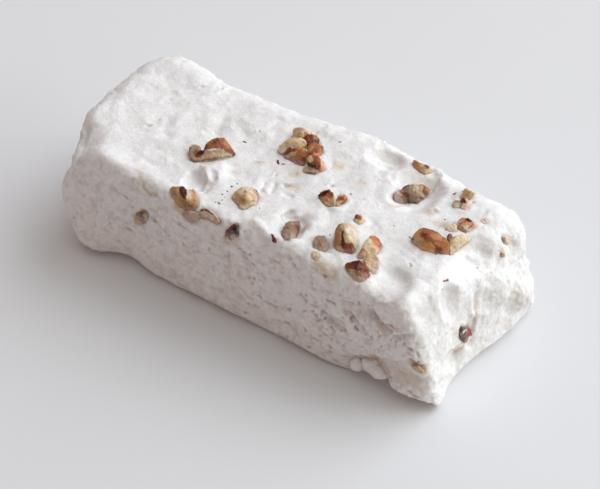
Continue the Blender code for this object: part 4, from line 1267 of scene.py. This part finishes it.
def pitted(points, tree):
    """How high each point stands after the small torn pits and their lips, and how deep in a pit it is."""
    draw = random.Random(PIT_SEED)
    uneven = ragged(points, PIT_RAGGED, PIT_SHIFT)
    index = indexed(points)
    height = np.zeros(len(points))
    depths = np.zeros(len(points))
    for facing, along, low, high, count in PITTED:
        outward = Vector(facing)
        for _ in range(count):
            start = somewhere(draw, low, high)
            turn = Matrix.Rotation(math.radians(draw.gauss(0, PIT_TILT)), 3, outward)
            length = draw.uniform(*PIT_LENGTH)
            width = draw.uniform(*PIT_WIDTH)
            depth = draw.uniform(*PIT_DEPTH)
            place, _, _, _ = tree.ray_cast(start, -outward)
            if place is None or noise.noise(place / PIT_PATCH) < PIT_PATCH_LEVEL:
                continue
            ahead = (turn @ Vector(along)).normalized()
            across = outward.cross(ahead)
            near = np.array([row for _, row, _ in index.find_range(place, PIT_LIMIT * length)])
            offset = uneven[near] - np.array(place)
            run = offset @ np.array(ahead) / length
            rise = offset @ np.array(across) / width + draw.uniform(-PIT_BEND, PIT_BEND) * run * run
            share = np.exp(-(run**4) - rise**2)
            lip = np.exp(-(run**4) - (rise - PIT_LIP_PLACE) ** 2)
            height[near] += depth * (PIT_LIP * lip - share)
            depths[near] = np.maximum(depths[near], share)
    return height, depths


def nicked(points, tree):
    """How deep in one of the near side's torn nicks each point is, from 0 to 1."""
    uneven = ragged(points, PIT_RAGGED, NICK_SHIFT)
    depths = np.zeros(len(points))
    for path in NICKS:
        places = [seen_at(tree, pixel) for pixel in path]
        for start, end in zip(places, places[1:]):
            middle = (start + end) / 2
            reach = NICK_LIMIT + np.linalg.norm(middle - start)
            near = np.flatnonzero(np.linalg.norm(points - middle, axis=1) < reach)
            apart = from_line(uneven[near], start, end) / NICK_REACH
            kept = smooth(*NICK_BREAK_SPAN, grain(points[near], *NICK_BREAK_NOISE))
            depths[near] = np.maximum(depths[near], kept * np.exp(-apart * apart))
    return depths


def bedded(points, nuts):
    """How the candy closes round each nut, with a groove and a low collar, and how near it is to one."""
    height = np.zeros(len(points))
    nearness = np.zeros(len(points))
    for tree, middle, reach in nuts:
        near = np.flatnonzero(np.linalg.norm(points - middle, axis=1) < reach + BED_LIMIT)
        apart = np.empty(len(near))
        for row, index in enumerate(near):
            place = Vector(points[index])
            nearest, normal, _, distance = tree.find_nearest(place)
            apart[row] = distance if (place - nearest).dot(normal) > 0 else 0.0
        groove = (1 - np.clip(apart / GROOVE_REACH, 0, 1)) ** 2
        collar = np.exp(-(((apart - COLLAR_PLACE) / COLLAR_REACH) ** 2))
        collar *= COLLAR_LEVEL + COLLAR_WAVE * grain(points[near], *COLLAR_NOISE)
        height[near] += COLLAR_HEIGHT * collar - GROOVE_DEPTH * groove
        nearness[near] = np.maximum(nearness[near], 1 - smooth(0, OILY_REACH, apart))
    return height, nearness


def stained_and_shaded(points, tree, sides, pits, nicks, nearness):
    """The candy's colour: painted shade in pits, nicks and hollows, grey patches, oil by nuts, stains of sunk
    ones.
    """
    colours = coat("candy", points)
    mottles = smooth(0, MOTTLE_FULL, layered(points, MOTTLES, MOTTLE_SHIFT))
    colours = blended(colours, "taupe", MOTTLE_SHARE * mottles * sides)
    colours = blended(colours, "beige", PIT_SHADE * pits)
    colours = blended(colours, "taupe", NICK_SHADE * nicks)
    colours = blended(colours, "tan", OILY_SHARE * nearness)
    for colour, first, last, reach, strength in STAINS_AND_SHADE:
        apart = from_seen(points, tree, (first, last))
        near = np.flatnonzero(apart < MARK_LIMIT * reach + MARK_MARGIN)
        wandered = apart[near] + layered(points[near], PAINT_DRIFT, MARK_SHIFT)
        shares = strength * faded(MARK_SPAN, reach, wandered)
        colours[near] = blended(colours[near], colour, shares)
    return colours


def rest_flat(mesh):
    """Makes one face of the flat underside."""
    form = bmesh.new()
    form.from_mesh(mesh)
    underside = [face for face in form.faces if all(vertex.co.z == 0 for vertex in face.verts)]
    bmesh.ops.dissolve_faces(form, faces=underside, use_verts=True)
    form.to_mesh(mesh)
    form.free()


def finished_candy(mesh, tree, outward, nuts):
    """The candy with its fine surface and colours, light enough to share, and its search tree."""
    points = coordinates(mesh)
    normals = normals_of(mesh)
    freedom = smooth(0, UNDERSIDE_FADE, points[:, 2])
    bed, nearness = bedded(points, nuts)
    pit_height, pits = pitted(points, tree)
    nicks = nicked(points, tree)
    height = bed + (relief(points, outward) + pit_height - NICK_DEPTH * nicks) * freedom
    fine = points + normals * height[:, None]
    fine[fine[:, 2] < UNDERSIDE_FLAT, 2] = 0
    moved_to(mesh, fine)
    coloured(mesh, stained_and_shaded(points, tree, sides_of(points, outward), pits, nicks, nearness))
    rest_flat(mesh)
    triangles = sum(len(face.vertices) - 2 for face in mesh.polygons)
    light = modified(mesh, "DECIMATE", ratio=min(1.0, MOST_TRIANGLES / triangles))
    return light, tree_of(coordinates(light), faces_of(light))


# Chopped pecans

def block_points(surface, corners):
    """The corners of a chunk, where the camera sees them, and its roots under the candy's surface."""
    feet = np.array([seen_at(surface, (x, y)) for x, y, _ in corners])
    rays = np.array([sight((x, y)) for x, y, _ in corners])
    heights = np.array([height for _, _, height in corners])
    facings = [surface.find_nearest(Vector(foot))[1] for foot in feet]
    up = np.array(sum(facings, Vector()).normalized())
    tops = feet - rays * (heights / np.maximum(-rays @ up, STEEPEST))[:, None]
    roots = tops - up * (heights + ROOT_DEPTH)[:, None]
    middle = roots.mean(axis=0)
    return np.concatenate((tops, middle + (roots - middle) * ROOT_SHARE))


def blocks(surface, chunks):
    """A mesh of some chunks, each the block between its corners and its roots."""
    form = bmesh.new()
    for corners in chunks:
        points = block_points(surface, corners)
        bmesh.ops.convex_hull(form, input=[form.verts.new(point) for point in points])
    bmesh.ops.recalc_face_normals(form, faces=form.faces[:])
    return mesh_of("blocks", form)


def packed_nut(name):
    """A copy of a packed nut in the log's own frame."""
    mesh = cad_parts[name].data.copy()
    moved_to(mesh, coordinates(mesh) / MM + MIDDLE)
    form = bmesh.new()
    form.from_mesh(mesh)
    bmesh.ops.remove_doubles(form, verts=form.verts[:], dist=WELD)
    form.to_mesh(mesh)
    form.free()
    return mesh


def roughly(source, number):
    """A block's outer surface in small even squares, and uneven like a broken nut's."""
    mesh = modified(source, "REMESH", mode="VOXEL", voxel_size=NUT_GRID)
    points = coordinates(mesh) + normals_of(mesh) * layered(coordinates(mesh), NUT_WAVES, number)[:, None]
    return points, faces_of(mesh)


def broken(points, draw, cuts, shares):
    """The points cut back flat on a few random sides, as a chopped nut breaks."""
    for _ in range(cuts):
        facing = any_direction(draw)
        reach = (points - points.mean(axis=0)) @ facing
        limit = reach.max() * draw.uniform(*shares)
        points = points - np.clip(reach - limit, 0, None)[:, None] * facing
    return points


def painted(points, tree, nut):
    """The colour of each point of a nut and its share of skin, from the patches and lines near it."""
    middle = Vector(points.mean(axis=0))
    drifted = ragged(points, PAINT_DRIFT, PAINT_SHIFT)
    total = np.zeros(len(points))
    skin = np.zeros(len(points))
    colours = np.zeros((len(points), 3))
    for colour, *pixels in nut.patches:
        apart = from_seen(drifted, tree, pixels, middle)
        weight = (apart * apart + PATCH_SOFTNESS) ** -PATCH_SHARPNESS
        total += weight
        skin += weight * SKINS.get(colour, 0.0)
        colours += weight[:, None] * linear(colour)
    colours *= WARMTH / total[:, None]
    skin /= total
    for colour, reach, *pixels in nut.lines:
        apart = from_seen(points, tree, pixels, middle)
        apart += LINE_WAVE * reach * grain(points, *LINE_NOISE)
        shares = LINE_STRENGTH * faded(LINE_SPAN, reach, apart)
        colours = blended(colours, colour, shares)
        skin += (SKINS.get(colour, 0.0) - skin) * shares
    return colours, skin


def hidden_paint(points, plain, number):
    """The colours of a nut that the photograph doesn't show: skin on one side, and flesh on the rest."""
    draw = random.Random(number)
    facing = any_direction(draw)
    reach = (points - points.mean(axis=0)) @ facing + grain(points, FLESH_SIZE, number)
    shares = smooth(*FLESH_SPAN, reach)
    skin = "brown" if plain in SKINS else "salmon"
    flesh = "tan" if plain in SKINS else plain
    colours = blended(coat(flesh, points), skin, shares)
    edge = np.exp(-((reach / FLESH_EDGE) ** 2))
    return blended(colours, "rust", FLESH_EDGE_SHARE * edge), shares


def filmed(points, colours, surface, share):
    """The colours under a thin film of candy near its surface."""
    heights = np.empty(len(points))
    for row, place in enumerate(points.tolist()):
        nearest, normal, _, _ = surface.find_nearest(place)
        heights[row] = (Vector(place) - nearest).dot(normal)
    wandered = heights + layered(points, FILM_RAGGED, FILM_SHIFT)
    return blended(colours, "candy", share * (1 - smooth(FILM_START, FILM_END, wandered)))


def nut_part(nut, number, surface):
    """A nut that the photograph shows: its points, faces, colours and shares of skin."""
    points, faces = roughly(blocks(surface, nut.chunks), number)
    colours, skin = painted(points, tree_of(points, faces), nut)
    return points, faces, filmed(points, colours, surface, max(nut.film, FILM_LEAST)), skin


def hidden_part(name, plain, number):
    """A nut that the photograph hides: its points, faces, colours and shares of skin."""
    points, faces = roughly(packed_nut(name), number)
    points = broken(points, random.Random(number), NUT_CUTS, NUT_CUT_SHARES)
    colours, skin = hidden_paint(points, plain, number)
    return points, faces, colours, skin


def bed_of(part):
    """A nut's search tree, its middle and its reach, for the candy to close round it."""
    middle = part[0].mean(axis=0)
    return tree_of(part[0], part[1]), middle, np.linalg.norm(part[0] - middle, axis=1).max()


# Small bits and flecks

def chip(length, width, seed, steps):
    """An angular chip about the origin, drawn out along X and broken flat on a few sides."""
    draw = random.Random(seed)
    ball = bmesh.new()
    bmesh.ops.create_icosphere(ball, subdivisions=steps, radius=0.5)
    ball.verts.index_update()
    points = np.array([vertex.co[:] for vertex in ball.verts])
    faces = [[vertex.index for vertex in face.verts] for face in ball.faces]
    ball.free()
    outward = unit(points)
    points = broken(points, draw, CHIP_CUTS, CHIP_CUT_SHARES)
    points = points + outward * (waves(points, CHIP_WAVE_SIZE, seed) * CHIP_ROUGHNESS)[:, None]
    return points / np.ptp(points, axis=0) * (length, width, width * CHIP_THICKNESS), faces


def laid(points, place, up, along, sink):
    """Points about the origin laid at a place: their X runs along a direction, and they are sunk a little."""
    side = up.cross(along).normalized()
    turned = points @ np.array((side.cross(up), side, up))
    return turned + np.array(place) - np.array(up) * sink


def two_toned(points, skin, flesh, seed):
    """A chip's colours and its share of skin: skin on its upper side, and flesh below."""
    reach = points[:, 2] / np.ptp(points[:, 2]) + TONE_WAVE * waves(points, TONE_SIZE, seed)
    shares = smooth(*TONE_SPAN, reach)
    return blended(coat(flesh, points), skin, shares), shares


def hidden_bits(tree):
    """The small bits of pecan on the sides that the photograph hides."""
    parts = []
    for seed, (skin, flesh, start, facing, length, width) in enumerate(HIDDEN_BITS):
        place, up, _, _ = tree.ray_cast(Vector(start), -Vector(facing))
        form, faces = chip(length, width, seed, BIT_STEPS)
        points = laid(form, place, up, up.orthogonal(), BIT_SINK * width)
        parts.append((points, faces, *two_toned(form, skin, flesh, seed)))
    return parts


def fleck(place, up, along, length, width, colour, seed):
    """A fleck of skin that lies on the candy."""
    form, faces = chip(length, width, seed, FLECK_STEPS)
    points = laid(form, place, up, along, FLECK_SINK * width)
    return points, faces, coat(colour, points), np.ones(len(points))


def seen_flecks(tree):
    """The brown flecks and the black specks that the photograph shows."""
    rows = [*FLECKS, *(("black", place, place, width) for place, width in SPECKS)]
    parts = []
    for seed, (colour, first, last, width) in enumerate(rows):
        start = Vector(seen_at(tree, first))
        end = Vector(seen_at(tree, last))
        place, up, _, _ = tree.find_nearest((start + end) / 2)
        along = end - start if first != last else up.orthogonal()
        parts.append(fleck(place, up, along, (end - start).length + width, width, colour, seed))
    return parts


def strewn_flecks(tree):
    """Flecks on the sides that the photograph hides."""
    draw = random.Random(STREWN_SEED)
    parts = []
    for facing, low, high, count in STREWN:
        for _ in range(count):
            start = somewhere(draw, low, high)
            length = draw.uniform(*STREWN_LENGTH)
            colour = draw.choice(STREWN_COLOURS)
            place, up, _, _ = tree.ray_cast(start, -Vector(facing))
            width = STREWN_WIDTH * length
            parts.append(fleck(place, up, up.orthogonal(), length, width, colour, draw.random()))
    return parts


def pebbles_mesh():
    """The white lumps of candy under the near side's overhang."""
    form = bmesh.new()
    for centre, halves, tilt in PEBBLES:
        turned = Matrix.Rotation(math.radians(tilt), 4, "Y") @ Matrix.Diagonal((*halves, 1))
        place = Matrix.Translation(centre) @ turned
        bmesh.ops.create_icosphere(form, subdivisions=PEBBLE_STEPS, radius=1, matrix=place)
    mesh = mesh_of("white_lumps", form)
    points = coordinates(mesh)
    moved_to(mesh, points + normals_of(mesh) * layered(points, PEBBLE_WAVES)[:, None])
    coloured(mesh, coat("candy", points))
    return mesh


# Materials

def node(material, kind, **settings):
    """A new node of a material, with these properties set."""
    made = material.node_tree.nodes.new(kind)
    for key, value in settings.items():
        setattr(made, key, value)
    return made


def new_material(name):
    """A new material, its node tree's links and its Principled shader."""
    material = bpy.data.materials.new(name)
    material.use_nodes = True
    return material, material.node_tree.links, material.node_tree.nodes["Principled BSDF"]


def set_inputs(made, values):
    """Sets a node's inputs by their names."""
    for key, value in values.items():
        made.inputs[key].default_value = value


def noise_of(material, size, stretch=EVEN, detail=3.0):
    """A noise texture with features about one size wide, in millimetres, in the object's own frame."""
    place = node(material, "ShaderNodeTexCoord")
    mapping = node(material, "ShaderNodeMapping")
    speckle = node(material, "ShaderNodeTexNoise")
    set_inputs(mapping, {"Scale": [1 / (MM * size * share) for share in stretch]})
    set_inputs(speckle, {"Scale": 1, "Detail": detail})
    material.node_tree.links.new(place.outputs["Object"], mapping.inputs["Vector"])
    material.node_tree.links.new(mapping.outputs["Vector"], speckle.inputs["Vector"])
    return speckle.outputs["Fac"]


def bumped(material, layers):
    """The normal after each layer of relief: its height output, and its depth in millimetres."""
    normal = None
    for height, depth in layers:
        bump = node(material, "ShaderNodeBump")
        set_inputs(bump, {"Distance": depth * MM})
        material.node_tree.links.new(height, bump.inputs["Height"])
        if normal is not None:
            material.node_tree.links.new(normal, bump.inputs["Normal"])
        normal = bump.outputs["Normal"]
    return normal


def ramped(material, value, low, high, start, end):
    """A value between low and high turned into one between start and end."""
    span = node(material, "ShaderNodeMapRange")
    set_inputs(span, {"From Min": low, "From Max": high, "To Min": start, "To Max": end})
    material.node_tree.links.new(value, span.inputs["Value"])
    return span.outputs["Result"]


def varied(material, colour, fac, low, high):
    """The colour multiplied by a grey that runs from low to high with a factor."""
    times = node(material, "ShaderNodeVectorMath", operation="MULTIPLY")
    material.node_tree.links.new(colour, times.inputs[0])
    material.node_tree.links.new(ramped(material, fac, *NOISE_SPAN, low, high), times.inputs[1])
    return times.outputs["Vector"]


def tinted(material, tints):
    """The painted colour, varied by each noise: its size, its stretch, and its two shares."""
    colour = node(material, "ShaderNodeAttribute", attribute_name="tint").outputs["Color"]
    for size, stretch, low, high in tints:
        colour = varied(material, colour, noise_of(material, size, stretch), low, high)
    return colour


def candy_material():
    """Whipped candy: matt, faintly translucent, with a fine grain and small pits."""
    material, links, shader = new_material("whipped_candy")
    links.new(tinted(material, CANDY_TINTS), shader.inputs["Base Color"])
    flaws = noise_of(material, CANDY_FLAW, detail=CANDY_FLAW_DETAIL)
    layers = (
        (noise_of(material, CANDY_LUMP), CANDY_LUMP_DEPTH),
        (ramped(material, flaws, *CANDY_FLAW_SPAN, 0.0, 1.0), CANDY_FLAW_DEPTH),
        (noise_of(material, CANDY_GRAIN), CANDY_GRAIN_DEPTH),
    )
    links.new(bumped(material, layers), shader.inputs["Normal"])
    set_inputs(shader, CANDY_SHADER)
    return material


def nut_material():
    """Pecan: glossy wrinkled skin and oily crumbly flesh, told apart by the painted share of skin."""
    material, links, shader = new_material("chopped_pecan")
    links.new(tinted(material, NUT_TINTS), shader.inputs["Base Color"])
    layers = (
        (noise_of(material, NUT_WRINKLE, WRINKLED), NUT_WRINKLE_DEPTH),
        (noise_of(material, NUT_GRAIN), NUT_GRAIN_DEPTH),
    )
    links.new(bumped(material, layers), shader.inputs["Normal"])
    skin = node(material, "ShaderNodeAttribute", attribute_name="skin")
    rough = ramped(material, skin.outputs["Fac"], 0.0, 1.0, FLESH_ROUGHNESS, SKIN_ROUGHNESS)
    links.new(rough, shader.inputs["Roughness"])
    set_inputs(shader, NUT_SHADER)
    return material


def floor_material():
    """A plain pale board with a faint unevenness."""
    material, links, shader = new_material("pale_floor")
    base = node(material, "ShaderNodeRGB")
    base.outputs["Color"].default_value = FLOOR_COLOUR
    faint = varied(material, base.outputs["Color"], noise_of(material, FLOOR_NOISE), *FLOOR_SHARES)
    links.new(faint, shader.inputs["Base Color"])
    set_inputs(shader, {"Roughness": FLOOR_ROUGHNESS})
    return material


# The scene

def floor():
    """The pale floor under the roll."""
    form = bmesh.new()
    bmesh.ops.create_grid(form, x_segments=1, y_segments=1, size=FLOOR_REACH)
    mesh = mesh_of("floor", form)
    mesh.materials.append(floor_material())
    ground = added("floor", mesh)


def lamp(name, direction, distance, size, power, colour):
    """A soft square light in that direction from the roll, facing it."""
    light = bpy.data.lights.new(name, "AREA")
    light.size = size
    light.energy = power
    light.color = colour
    seat = added(name, light)
    towards = Vector(direction).normalized()
    seat.location = towards * distance
    seat.rotation_euler = towards.to_track_quat("Z", "Y").to_euler()


def surroundings():
    """The pale even light from all round."""
    world = bpy.data.worlds.new("surroundings")
    world.use_nodes = True
    background = world.node_tree.nodes["Background"]
    set_inputs(background, {"Color": WORLD_COLOUR, "Strength": WORLD_STRENGTH})
    bpy.context.scene.world = world


def camera():
    """The camera at the photograph's angle."""
    lens = bpy.data.cameras.new("camera")
    lens.sensor_width = SENSOR
    lens.lens = SENSOR * FOCAL / IMAGE[0]
    lens.clip_start = NEAREST
    seat = added("camera", lens)
    seat.location = (EYE - Vector(MIDDLE)) * MM
    seat.rotation_euler = BACK.to_track_quat("Z", "Y").to_euler()
    bpy.context.scene.camera = seat


def main():
    """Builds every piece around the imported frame."""
    pecan = nut_material()
    candy = candy_material()
    body, surface, outward = candy_form()
    parts = {name: nut_part(nut, number, surface) for number, (name, nut) in enumerate(NUTS.items())}
    for number, (name, plain) in enumerate(HIDDEN_NUTS.items()):
        parts[name] = hidden_part(name, plain, number)
    for name, part in parts.items():
        piece = piece_of(f"{name}_chopped", joined(f"{name}_chopped", [part]), pecan)
        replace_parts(piece, name)
    bits = [nut_part(nut, number, surface) for number, nut in enumerate(BITS, len(NUTS))]
    beds = [bed_of(part) for part in [*parts.values(), *bits]]
    body, fine = finished_candy(body, surface, outward, beds)
    bits_mesh = joined("small_pecan_bits", bits + hidden_bits(fine))
    flecks_mesh = joined("skin_flecks", seen_flecks(fine) + strewn_flecks(fine))
    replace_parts(piece_of("divinity_candy", body, candy), "divinity_log")
    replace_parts(piece_of("small_pecan_bits", bits_mesh, pecan), "divinity_log")
    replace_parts(piece_of("white_lumps", pebbles_mesh(), candy), "divinity_log")
    piece_of("skin_flecks", flecks_mesh, pecan)
    floor()
    for row in LAMPS:
        lamp(*row)
    surroundings()
    camera()
    bpy.context.scene.view_settings.view_transform = "Standard"


main()
